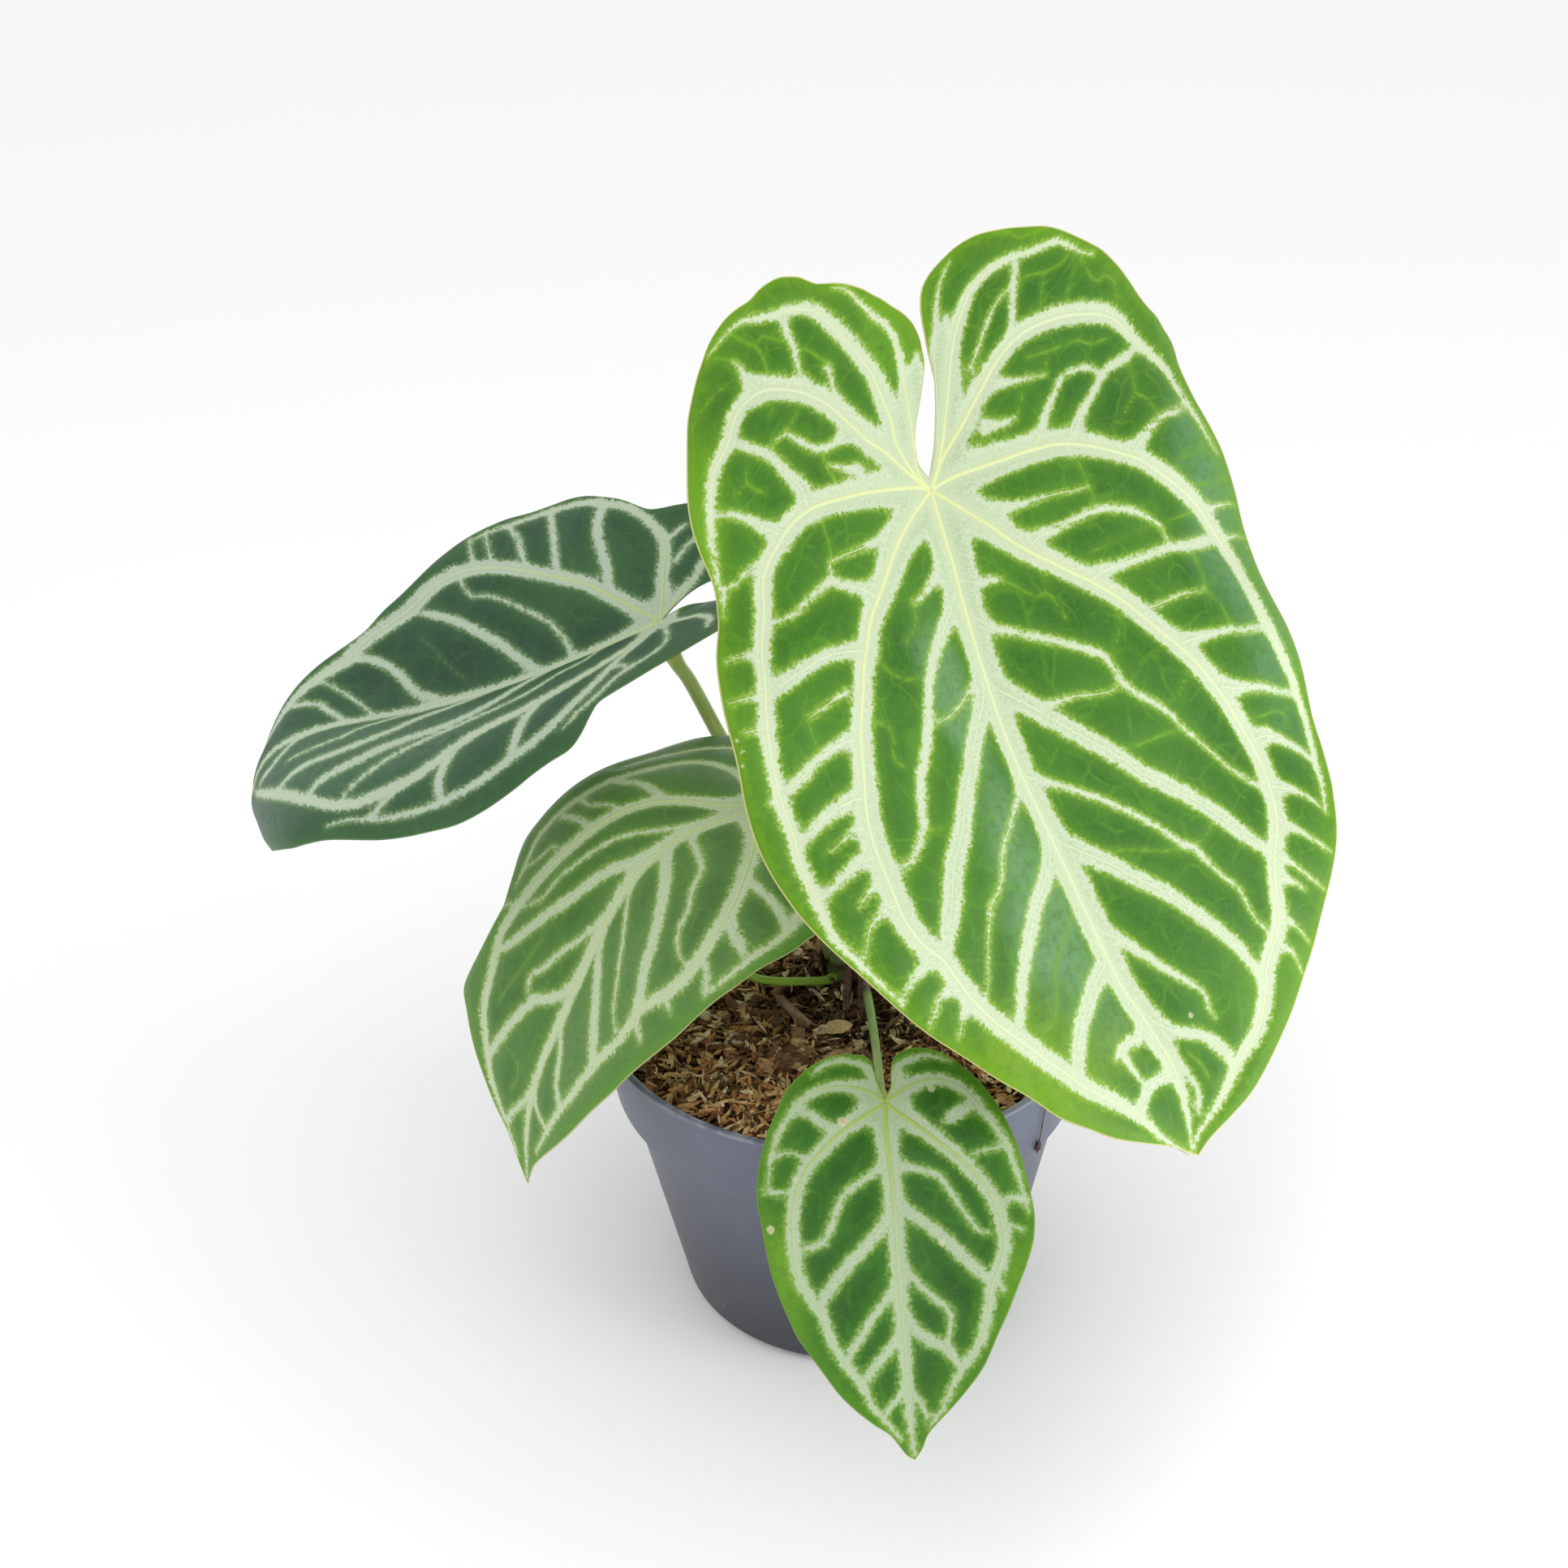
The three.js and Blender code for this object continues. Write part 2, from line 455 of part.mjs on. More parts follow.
// A rib: a slim keel of three-cornered section along a vein, its flat side up at a height
// above the middle of the blade and its edge beneath
function rib(surface, line, width, top, depth) {
  const SIDES = 3;
  const END_SHARE = 0.55;
  const position = [];
  const index = [];
  line.forEach(([v, u], i) => {
    const share = 1 - (1 - END_SHARE) * (i / (line.length - 1));
    const centre = surface.point(u, v);
    const normal = surface.normal(u, v || 0.001);
    const [v1, u1] = line[Math.min(i + 1, line.length - 1)];
    const [v0, u0] = line[Math.max(i - 1, 0)];
    const ahead = surface.point(u1, v1).sub(surface.point(u0, v0)).normalize();
    const across = ahead.clone().cross(normal).normalize();
    [[0, -depth * share], [width * share, top], [-width * share, top]].forEach(([side, rise]) => {
      const p = centre.clone().addScaledVector(normal, rise).addScaledVector(across, side);
      position.push(p.x, p.y, p.z);
    });
  });
  for (let i = 0; i + 1 < line.length; i += 1) {
    for (let k = 0; k < SIDES; k += 1) {
      const a = i * SIDES + k;
      const b = i * SIDES + ((k + 1) % SIDES);
      index.push(a, a + SIDES, b, b, a + SIDES, b + SIDES);
    }
  }
  const last = (line.length - 1) * SIDES;
  index.push(0, 1, 2, last, last + 2, last + 1);
  const geometry = new THREE.BufferGeometry();
  geometry.setAttribute("position", new THREE.BufferAttribute(new Float32Array(position), 3));
  geometry.setIndex(index);
  return geometry;
}

// A blade: two halves that meet along the midrib, one thickness all over, with the same
// triangles on both faces, joined with its midrib and main side ribs. grow thickens it
// for the seat that its petiole's head is cut to.
function blade(leaf, grow) {
  const surface = sheet(leaf);
  const flat = [];
  const keys = new Map();
  const at = (v, u) => {
    const key = `${v.toFixed(5)} ${u.toFixed(5)}`;
    if (!keys.has(key)) {
      keys.set(key, flat.length);
      flat.push([v, u]);
    }
    return keys.get(key);
  };
  const faces = [];
  const tip = at(0, 1);
  ["left", "right"].forEach((side) => {
    const { topPoint, grid } = halfRows(leaf, side);
    const rows = grid.map((line) => line.map(([v, u]) => at(v, u)));
    const top = at(topPoint[0], topPoint[1]);
    const add = (a, b, c) => faces.push(side === "left" ? [a, b, c] : [a, c, b]);
    for (let j = 0; j < leaf.columns; j += 1) {
      add(top, rows[0][j], rows[0][j + 1]);
      for (let i = 0; i + 1 < rows.length; i += 1) {
        add(rows[i][j], rows[i + 1][j], rows[i + 1][j + 1]);
        add(rows[i][j], rows[i + 1][j + 1], rows[i][j + 1]);
      }
      add(rows[rows.length - 1][j], tip, rows[rows.length - 1][j + 1]);
    }
  });
  const position = [];
  [1, -1].forEach((face) => flat.forEach(([v, u]) => {
    const ahead = surface.normal(u, v + 0.012).add(surface.normal(u, v - 0.012)).normalize();
    const p = surface.point(u, v).addScaledVector(ahead, face * (BLADE_THICKNESS / 2 + grow));
    position.push(p.x, p.y, p.z);
  }));
  const count = flat.length;
  const index = [];
  const edges = new Map();
  faces.forEach(([a, b, c]) => {
    index.push(a, b, c, a + count, c + count, b + count);
    [[a, b], [b, c], [c, a]].forEach(([p, q]) => {
      if (edges.has(`${q} ${p}`)) edges.delete(`${q} ${p}`);
      else edges.set(`${p} ${q}`, [p, q]);
    });
  });
  edges.forEach(([p, q]) => index.push(p, p + count, q, q, p + count, q + count));
  const geometry = new THREE.BufferGeometry();
  geometry.setAttribute("position", new THREE.BufferAttribute(new Float32Array(position), 3));
  geometry.setIndex(index);
  const size = 0.5 + 0.5 * (leaf.length / LARGE.length);
  const midrib = rib(surface, leaf.midrib, MIDRIB_WIDTH * size + grow, MIDRIB_TOP + grow,
    MIDRIB_DEPTH * size + 2 * grow);
  const ribs = leaf.ribs.map(
    (line) => rib(surface, line, RIB_WIDTH * size + grow, RIB_TOP, RIB_DEPTH * size + 2 * grow));
  return join([geometry, midrib, ...ribs].map(solid)).simplify(FINE);
}

// A stalk: a round tube through points given by hand, with its radius at each end
function stalk(points, foot, head, steps) {
  const path = new THREE.CatmullRomCurve3(points.map((p) => new THREE.Vector3(...p)), false, "centripetal");
  const SIDES = 8;
  const position = [];
  const index = [];
  const frames = path.computeFrenetFrames(steps, false);
  for (let i = 0; i <= steps; i += 1) {
    const centre = path.getPointAt(i / steps);
    const radius = foot + (head - foot) * (i / steps);
    for (let k = 0; k < SIDES; k += 1) {
      const angle = (k / SIDES) * 2 * Math.PI;
      const p = centre.clone().addScaledVector(frames.normals[i], Math.cos(angle) * radius)
        .addScaledVector(frames.binormals[i], Math.sin(angle) * radius);
      position.push(p.x, p.y, p.z);
    }
  }
  for (let i = 0; i < steps; i += 1) {
    for (let k = 0; k < SIDES; k += 1) {
      const a = i * SIDES + k;
      const b = i * SIDES + ((k + 1) % SIDES);
      index.push(a, b, a + SIDES, b, b + SIDES, a + SIDES);
    }
  }
  const last = steps * SIDES;
  for (let k = 1; k + 1 < SIDES; k += 1) {
    index.push(0, k + 1, k);
    index.push(last, last + k, last + k + 1);
  }
  const geometry = new THREE.BufferGeometry();
  geometry.setAttribute("position", new THREE.BufferAttribute(new Float32Array(position), 3));
  geometry.setIndex(index);
  return geometry;
}

// A turned body: a closed profile of radius and height swept round a standing axis
function turned(profile, sides, x = 0, y = 0) {
  const geometry = new THREE.LatheGeometry(profile.map(([r, z]) => new THREE.Vector2(r, z)), sides);
  geometry.rotateX(Math.PI / 2);
  geometry.translate(x, y, 0);
  return geometry;
}

// The stem: a short thick upright stump with swollen rings where old leaves were, and
// three papery sheaths standing against it. grow widens it for the hole in the soil and
// the seats of the petioles' feet.
function stem(grow) {
  const RINGS = [[0, 0.55], [0.25, 0.8], [0.45, 1], [0.6, 0.86], [0.7, 1.02], [0.82, 0.82], [0.9, 0.9],
    [1, 0.55]];
  const SHEATHS = [[-70, 10, 5.2], [35, 12, 4.8], [160, 9, 5.2]];
  const profile = [[0, STEM_FOOT - grow]];
  RINGS.forEach(([t, r]) => profile.push([STEM_RADIUS * r + grow, STEM_FOOT + (STEM_TOP - STEM_FOOT) * t]));
  profile[1][1] -= grow;
  profile[profile.length - 1][1] += grow;
  profile.push([0, STEM_TOP + grow]);
  const flaps = SHEATHS.map(([angle, height, out]) => {
    const flap = new THREE.CylinderGeometry(0.4 + grow, 2.4 + grow, height + 2 * grow, 6, 1);
    flap.scale(1, 1, 0.36 + 0.3 * grow);
    flap.rotateX(Math.PI / 2);
    flap.rotateX(radians(-7));
    flap.translate(0, -out, STEM_COLLAR + height / 2);
    flap.rotateZ(radians(angle + 90));
    flap.translate(STEM_X, STEM_Y, 0);
    return solid(flap);
  });
  return join([solid(turned(profile, 14, STEM_X, STEM_Y)), ...flaps]);
}

// The petioles, foot to head, as points on their middle lines. Each runs on to its leaf's
// joint and a little past it, and is then cut back to the blade's underside.
const PETIOLES = {
  large: { points: [[2, 12, 84], [3, 15.5, 100], [6.5, 24, 129], [8, 25.5, 160], [11, 21.5, 187],
    [16, 13, 204], [19.1, 8.2, 210.9]], foot: 2.8, head: 2.1, steps: 18 },
  dark: { points: [[-2, 13, 85], [-9.5, 22.5, 98], [-21, 37.5, 114], [-30.8, 50, 127.8],
    [-37, 50.8, 141.8], [-40, 48.8, 148.6], [-43, 48.4, 156.5]], foot: 2.2, head: 1.8, steps: 13 },
  middle: { points: [[-2, 9.5, 83.5], [-7, 6.8, 83.4], [-21.4, 2.4, 86], [-29.5, 1.5, 95],
    [-32, 4.5, 110], [-28, 8, 124], [-20.9, 6.7, 131]], foot: 1.8, head: 1.4, steps: 14 },
  small: { points: [[2.5, 7.5, 83.5], [6, -8.5, 86.4], [6.6, -25, 91.5], [7.2, -46, 98.6],
    [7.6, -63, 104], [8.2, -72.2, 107.2]], foot: 1.5, head: 1.1, steps: 10 },
};

function petiole(leaf) {
  const { points, foot, head, steps } = PETIOLES[leaf.name];
  const joint = new THREE.Vector3(...leaf.joint);
  const before = new THREE.Vector3(...points[points.length - 1]);
  const past = joint.clone().sub(before).setLength(PAST_JOINT).add(joint);
  const whole = solid(stalk([...points, leaf.joint, past.toArray()], foot, head, steps));
  let cut = whole.subtract(stem(CLEARANCE));
  const seat = blade(leaf, SEAT);
  [[1, 0], [-1, 0], [0, 1], [0, -1]].forEach(([x, y]) => {
    cut = cut.subtract(seat.translate([x * CLEARANCE, y * CLEARANCE, 0]));
  });
  return cut.decompose().sort((a, b) => b.volume() - a.volume())[0];
}

// The pot's inner wall as radius and height, from the rim down to the floor
const COLLAR_FOOT = POT_HEIGHT - COLLAR_HEIGHT;
const INNER_WALL = [
  [RIM_RADIUS - WALL, POT_HEIGHT], [COLLAR_FOOT_RADIUS - WALL, COLLAR_FOOT + 1.2],
  [BODY_TOP_RADIUS - WALL, COLLAR_FOOT], [BASE_RADIUS - WALL, FLOOR + 1], [BASE_RADIUS - WALL - 1.5, FLOOR],
];

// The pot: a moulded shell with a plain collar, a flat floor and a ring of drain holes
function pot() {
  const outside = [
    [0, 0], [BASE_RADIUS - BASE_CHAMFER, 0], [BASE_RADIUS, BASE_CHAMFER],
    [BODY_TOP_RADIUS, COLLAR_FOOT - 0.6], [COLLAR_FOOT_RADIUS, COLLAR_FOOT + 0.6],
    [RIM_RADIUS, POT_HEIGHT - LIP_HEIGHT], [RIM_RADIUS + LIP, POT_HEIGHT - LIP_HEIGHT + 0.4],
    [RIM_RADIUS + LIP, POT_HEIGHT],
  ];
  let body = solid(turned([...outside, ...INNER_WALL, [0, FLOOR]], POT_SIDES));
  for (let i = 0; i < DRAIN_HOLES; i += 1) {
    const angle = (i / DRAIN_HOLES) * 2 * Math.PI;
    const hole = new THREE.CylinderGeometry(DRAIN_RADIUS, DRAIN_RADIUS, FLOOR * 3, 10);
    hole.rotateX(Math.PI / 2);
    hole.translate(DRAIN_CIRCLE * Math.cos(angle), DRAIN_CIRCLE * Math.sin(angle), FLOOR / 2);
    body = body.subtract(solid(hole));
  }
  return body;
}

// How high the soil stands at a place: a low mound with soft lumps
function soilHeight(x, y) {
  const lumps = Math.sin(x * 0.21 + 1.3) * Math.cos(y * 0.17 - 0.6) + 0.6 * Math.sin(x * 0.47 - y * 0.39)
    + 0.4 * Math.cos(x * 0.83 + y * 0.71);
  const near = ((x - STEM_X) ** 2 + (y - STEM_Y) ** 2) / MOUND_SPREAD ** 2;
  return SOIL_LEVEL + SOIL_RELIEF * lumps + MOUND_HEIGHT * Math.exp(-near);
}

// A chip of wood or coir: a slab with slanted ends, turned by hand to how it lies
function chip(length, width, height, spin, tip, x, y, z) {
  const slab = new THREE.CylinderGeometry(width * 0.5, width * 0.36, length, 5, 1);
  slab.scale(1, 1, height / width);
  slab.rotateZ(Math.PI / 2);
  slab.rotateY(tip);
  slab.rotateZ(spin);
  slab.translate(x, y, z);
  return slab;
}

// The filling: packed substrate up to a little below the rim, with chips pressed into its
// top, a plain hole for the stem and dents under what lies on it
function soil(cuts) {
  const WALL_GAP = 0.6;
  const SECTORS = 36;
  const TOP_RINGS = [0.965, 0.85, 0.7, 0.54, 0.37, 0.19];
  const shoulder = SOIL_LEVEL - 2;
  const wallAt = (z) => {
    const [[topRadius, topZ], [footRadius, footZ]] = INNER_WALL;
    return footRadius + (topRadius - footRadius) * (z - footZ) / (topZ - footZ) - WALL_GAP;
  };
  const levels = [
    [BASE_RADIUS - WALL - 2.2, FLOOR + CLEARANCE], [BASE_RADIUS - WALL - WALL_GAP, FLOOR + 1.6],
    [BODY_TOP_RADIUS - WALL - WALL_GAP, COLLAR_FOOT], [wallAt(COLLAR_FOOT + 2), COLLAR_FOOT + 2],
    [wallAt(shoulder), shoulder],
  ];
  const position = [0, 0, FLOOR + CLEARANCE];
  const index = [];
  const ring = (radius, height) => {
    const start = position.length / 3;
    for (let k = 0; k < SECTORS; k += 1) {
      const angle = (k / SECTORS) * 2 * Math.PI;
      const x = radius * Math.cos(angle);
      const y = radius * Math.sin(angle);
      position.push(x, y, height === null ? soilHeight(x, y) : height);
    }
    return start;
  };
  const bridge = (a, b) => {
    for (let k = 0; k < SECTORS; k += 1) {
      const n = (k + 1) % SECTORS;
      index.push(a + k, a + n, b + k, a + n, b + n, b + k);
    }
  };
  let before = ring(levels[0][0], levels[0][1]);
  for (let k = 0; k < SECTORS; k += 1) index.push(0, before + ((k + 1) % SECTORS), before + k);
  levels.slice(1).forEach(([radius, height]) => {
    const next = ring(radius, height);
    bridge(before, next);
    before = next;
  });
  TOP_RINGS.forEach((share) => {
    const next = ring(wallAt(shoulder) * share, null);
    bridge(before, next);
    before = next;
  });
  const centre = position.length / 3;
  position.push(0, 0, soilHeight(0, 0));
  for (let k = 0; k < SECTORS; k += 1) index.push(before + k, before + ((k + 1) % SECTORS), centre);
  const bed = new THREE.BufferGeometry();
  bed.setAttribute("position", new THREE.BufferAttribute(new Float32Array(position), 3));
  bed.setIndex(index);
  const random = seeded(41);
  const chips = [];
  const CHIPS = 40;
  const GOLDEN_ANGLE = 2.39996;
  for (let i = 0; i < CHIPS; i += 1) {
    const radius = 51 * Math.sqrt((i + 0.5) / CHIPS);
    const angle = i * GOLDEN_ANGLE + random() * 0.5;
    const x = radius * Math.cos(angle);
    const y = radius * Math.sin(angle);
    chips.push(solid(chip(4 + random() * 6, 1.8 + random() * 1.6, 1.2 + random() * 0.8, random() * Math.PI,
      (random() - 0.5) * 0.5, x, y, soilHeight(x, y) + 0.25)));
  }
  let body = join([solid(bed), ...chips]);
  cuts.forEach((cut) => { body = body.subtract(cut); });
  return body.decompose().sort((a, b) => b.volume() - a.volume())[0];
}

// A shard of bark and a flat seed husk that lie loose on the soil; grow widens each one
// for the dent it lies in
const SHARD = { length: 12.5, thick: 2.1, thin: 1.5, flat: 0.6, turn: -52, x: -12.5, y: -3, lift: 0.9 };
const HUSK = { length: 4.2, width: 2.1, height: 1.1, turn: 6, x: -2, y: -8.5, lift: 0.8 };

function barkShard(grow) {
  const { length, thick, thin, flat, turn, x, y, lift } = SHARD;
  const shard = new THREE.CylinderGeometry(thin + grow, thick + grow, length + 2 * grow, 6, 1);
  shard.scale(1, 1, flat);
  shard.rotateZ(radians(turn));
  shard.translate(x, y, soilHeight(x, y) + lift);
  return solid(shard);
}

function seedHusk(grow) {
  const { length, width, height, turn, x, y, lift } = HUSK;
  const husk = new THREE.SphereGeometry(1, 10, 7);
  husk.scale(length + grow, width + grow, height + grow);
  husk.rotateZ(radians(turn));
  husk.translate(x, y, soilHeight(x, y) + lift);
  return solid(husk);
}

const finishes = {
  pot: new THREE.MeshStandardMaterial({ color: 0x6a7080, roughness: 0.55, metalness: 0 }),
  soil: new THREE.MeshStandardMaterial({ color: 0x6b4a30, roughness: 0.95, metalness: 0 }),
  stem: new THREE.MeshStandardMaterial({ color: 0x7c8a3c, roughness: 0.6, metalness: 0 }),
  bark: new THREE.MeshStandardMaterial({ color: 0x6e4c34, roughness: 0.9, metalness: 0 }),
  husk: new THREE.MeshStandardMaterial({ color: 0xc9ab7c, roughness: 0.8, metalness: 0 }),
  bright: new THREE.MeshStandardMaterial({ color: 0x5c9a2c, roughness: 0.4, metalness: 0 }),
  muted: new THREE.MeshStandardMaterial({ color: 0x587a4c, roughness: 0.45, metalness: 0 }),
};

const plant = new THREE.Group();
function place(name, body, finish) {
  const mesh = new THREE.Mesh(geometryOf(body), finish);
  mesh.name = name;
  plant.add(mesh);
}

place("pot", pot(), finishes.pot);
place("soil", soil([stem(CLEARANCE), barkShard(SEAT), seedHusk(CLEARANCE)]), finishes.soil);
place("bark_shard", barkShard(0), finishes.bark);
place("seed_husk", seedHusk(0), finishes.husk);
place("stem_base", stem(0), finishes.stem);
[LARGE, SMALL, MIDDLE, DARK].forEach((leaf) => {
  place(`petiole_${leaf.name}`, petiole(leaf), finishes.stem);
  place(`blade_${leaf.name}`, blade(leaf, 0), finishes[leaf.finish]);
});

export default plant;
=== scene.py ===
import bpy
import numpy as np
from mathutils import Matrix


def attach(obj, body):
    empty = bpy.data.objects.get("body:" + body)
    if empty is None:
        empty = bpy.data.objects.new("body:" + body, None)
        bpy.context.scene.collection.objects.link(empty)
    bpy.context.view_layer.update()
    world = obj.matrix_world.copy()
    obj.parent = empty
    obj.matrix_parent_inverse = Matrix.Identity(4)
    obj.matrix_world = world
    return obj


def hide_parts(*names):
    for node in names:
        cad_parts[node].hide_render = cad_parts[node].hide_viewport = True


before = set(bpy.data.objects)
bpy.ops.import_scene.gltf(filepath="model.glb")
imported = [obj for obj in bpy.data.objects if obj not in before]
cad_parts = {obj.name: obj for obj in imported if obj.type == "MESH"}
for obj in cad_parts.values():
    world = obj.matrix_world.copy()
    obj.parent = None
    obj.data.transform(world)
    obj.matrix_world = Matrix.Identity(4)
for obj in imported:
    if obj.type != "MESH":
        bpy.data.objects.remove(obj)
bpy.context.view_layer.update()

# The camera stands in front of the plant and above it, looking down about thirty degrees
# with a short telephoto lens, as the photograph was taken.
MM = 0.001
TURN = 2 * np.pi
CAMERA_PLACE = (0, -467, 426.6)
CAMERA_PITCH, CAMERA_YAW, CAMERA_ROLL = np.radians((31.28, -1.61, -1.76))
LENS = 54.41
forward = np.array([np.sin(CAMERA_YAW) * np.cos(CAMERA_PITCH), np.cos(CAMERA_YAW) * np.cos(CAMERA_PITCH),
                    -np.sin(CAMERA_PITCH)])
level = np.array([np.cos(CAMERA_YAW), -np.sin(CAMERA_YAW), 0])
upright = np.cross(level, forward)
right = np.cos(CAMERA_ROLL) * level + np.sin(CAMERA_ROLL) * upright
up = np.cos(CAMERA_ROLL) * upright - np.sin(CAMERA_ROLL) * level


def aim(thing, place, right, up, look):
    """Puts a camera or a lamp at a place in millimetres, looking along look."""
    turn = np.eye(4)
    turn[:3, 0], turn[:3, 1], turn[:3, 2] = right, up, -look
    turn[:3, 3] = np.array(place) * MM
    thing.matrix_world = Matrix(turn.tolist())
    bpy.context.collection.objects.link(thing)


camera_data = bpy.data.cameras.new("camera")
camera_data.lens = LENS
camera_data.sensor_width = 36
camera_data.clip_start = 0.01
camera = bpy.data.objects.new("camera", camera_data)
aim(camera, CAMERA_PLACE, right, up, forward)
bpy.context.scene.camera = camera


# The pot: a round nursery pot of thin slate-grey plastic, moulded in one piece, with a
# plain collar, a thin lip and eight drain holes in its floor.
POT_HEIGHT = 84
RIM_RADIUS = 60
COLLAR_HEIGHT = 22
COLLAR_FOOT_RADIUS = 57
BODY_TOP_RADIUS = 54
BASE_RADIUS = 42
BASE_CHAMFER = 2.5
WALL = 1.4
POT_FLOOR = 1.8
LIP = 0.5
LIP_HEIGHT = 1.6
DRAIN_HOLES = 8
DRAIN_RADIUS = 4
DRAIN_CIRCLE = 27
AROUND = 192
DRAIN_AROUND = 32
COLLAR_FOOT = POT_HEIGHT - COLLAR_HEIGHT


class Value:
    """A socket of a material's nodes; arithmetic on it adds Math nodes."""

    def __init__(self, tree, socket=None):
        self.tree = tree
        self.socket = socket

    def node(self, kind, settings=None, inputs=None, output=0):
        """Adds a node: its settings first, then the values or links of its sockets."""
        added = self.tree.nodes.new(kind)
        for key, value in (settings or {}).items():
            if key == "stops":
                ramp = added.color_ramp
                while len(ramp.elements) < len(value):
                    ramp.elements.new(0.5)
                for element, (place, colour) in zip(ramp.elements, value):
                    element.position = place
                    element.color = colour
            else:
                setattr(added, key, value)
        for key, value in (inputs or {}).items():
            if isinstance(value, Value):
                self.tree.links.new(value.socket, added.inputs[key])
            else:
                added.inputs[key].default_value = value
        return Value(self.tree, added.outputs[output])

    def math(self, operation, first, second=0.0):
        return self.node("ShaderNodeMath", {"operation": operation}, {0: first, 1: second})

    def __add__(self, other):
        return self.math("ADD", self, other)

    def __sub__(self, other):
        return self.math("SUBTRACT", self, other)

    def __rsub__(self, other):
        return self.math("SUBTRACT", other, self)

    def __mul__(self, other):
        return self.math("MULTIPLY", self, other)

    __radd__ = __add__
    __rmul__ = __mul__

    def step(self, low, high):
        """0 below low and 1 above high, smooth between them, or the other way round."""
        return self.node("ShaderNodeMapRange", {"interpolation_type": "SMOOTHSTEP"},
                         {"Value": self, "From Min": low, "From Max": high})

    def vector(self, operation, second=(0, 0, 0), output=0):
        return self.node("ShaderNodeVectorMath", {"operation": operation}, {0: self, 1: second}, output)

    def ramp(self, *pairs):
        """Colours from 0 to 255 at places of this value, blended between."""
        stops = [(place, srgb(*colour)) for place, colour in pairs]
        return self.node("ShaderNodeValToRGB", {"stops": stops}, {0: self})

    def mix(self, first, second):
        """The first colour where this is 0 and the second where it is 1."""
        return self.node("ShaderNodeMix", {"data_type": "RGBA", "clamp_factor": True},
                         {0: self, 6: first, 7: second}, output=2)


def srgb(red, green, blue):
    """A colour from 0 to 255 as the shader's linear numbers."""
    channel = np.array([red, green, blue]) / 255
    linear = np.where(channel <= 0.04045, channel / 12.92, ((channel + 0.055) / 1.055) ** 2.4)
    return (*linear.tolist(), 1.0)


def finish_of(name, constants):
    """A material, its shader with these constants, and a value to grow nodes from."""
    material = bpy.data.materials.new(name)
    material.use_nodes = True
    shader = material.node_tree.nodes["Principled BSDF"]
    for key, value in constants.items():
        shader.inputs[key].default_value = value
    return material, shader, Value(material.node_tree)


def feed(value, shader, socket):
    value.tree.links.new(value.socket, shader.inputs[socket])


def solid_place(start):
    """A point's own place in the plant, in metres."""
    return start.node("ShaderNodeTexCoord", None, None, 3)


def stretched(start, scale):
    """The same place with its three axes scaled, so that a noise runs along one of them."""
    return start.node("ShaderNodeMapping", None, {"Vector": solid_place(start), "Scale": scale})


def noise(start, where, scale, detail=3.0, rough=0.5):
    """Cloudy noise from 0 to 1; scale is lumps to a unit of the place."""
    inputs = {"Vector": where, "Scale": scale, "Detail": detail, "Roughness": rough}
    return start.node("ShaderNodeTexNoise", None, inputs)


def bump(start, height, distance, strength, shader):
    inputs = {"Height": height, "Distance": distance, "Strength": strength}
    feed(start.node("ShaderNodeBump", None, inputs), shader, "Normal")


def make_piece(name, points, face_groups, slot, smooth=True):
    """A mesh object from points in millimetres and arrays of faces, three or four corners each."""
    mesh = bpy.data.meshes.new(name)
    points = np.asarray(points, dtype=float).reshape(-1, 3) * MM
    faces = [np.asarray(group, dtype=np.int32) for group in face_groups if len(group)]
    corners = np.concatenate([group.ravel() for group in faces])
    sizes = np.concatenate([np.full(len(group), group.shape[1]) for group in faces])
    mesh.vertices.add(len(points))
    mesh.vertices.foreach_set("co", points.ravel())
    mesh.loops.add(len(corners))
    mesh.loops.foreach_set("vertex_index", corners)
    mesh.polygons.add(len(sizes))
    mesh.polygons.foreach_set("loop_start", np.concatenate([[0], np.cumsum(sizes)[:-1]]).astype(np.int32))
    mesh.polygons.foreach_set("use_smooth", np.full(len(sizes), smooth))
    mesh.update(calc_edges=True)
    piece = bpy.data.objects.new(name, mesh)
    bpy.context.collection.objects.link(piece)
    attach(piece, "root")
    return piece


def all_round(around):
    """Even angles round a circle."""
    return np.linspace(0, TURN, around, endpoint=False)


def wall_faces(rings, around, start=0):
    """Quads between rings of points, each ring closed on itself."""
    ring, k = np.meshgrid(np.arange(rings - 1), np.arange(around), indexing="ij")
    here = start + ring * around + k
    beside = start + ring * around + (k + 1) % around
    return np.stack([here, beside, beside + around, here + around], -1).reshape(-1, 4)


def tube_faces(rings, around, start=0):
    """Quads between rings of points and one face across each end."""
    ends = [start + np.arange(around)[::-1]], [start + (rings - 1) * around + np.arange(around)]
    return [wall_faces(rings, around, start), *ends]


def fan(hub, starts, ends):
    """Triangles from one point to each pair of neighbours."""
    return np.stack([np.full(len(starts), hub), starts, ends], -1)


def spun(radius, angle, height, x=0, y=0):
    """Points at a distance and an angle round an upright axis, at a height."""
    return np.stack(np.broadcast_arrays(x + radius * np.cos(angle), y + radius * np.sin(angle), height), -1)


def turned(profile, around):
    """Points of a profile of radius and height carried round the upright axis, ring by ring."""
    profile = np.asarray(profile, float)
    return spun(profile[:, :1], all_round(around), profile[:, 1:])


def closed_rings(rings, foot, head):
    """Rings of points as a body closed by a fan to one point at each end."""
    rows, around = rings.shape[:2]
    first = np.arange(around)
    last = (rows - 1) * around + first
    fans = fan(rows * around, np.roll(first, -1), first), fan(rows * around + 1, last, np.roll(last, -1))
    return np.vstack([rings.reshape(-1, 3), foot, head]), [wall_faces(rows, around), *fans]


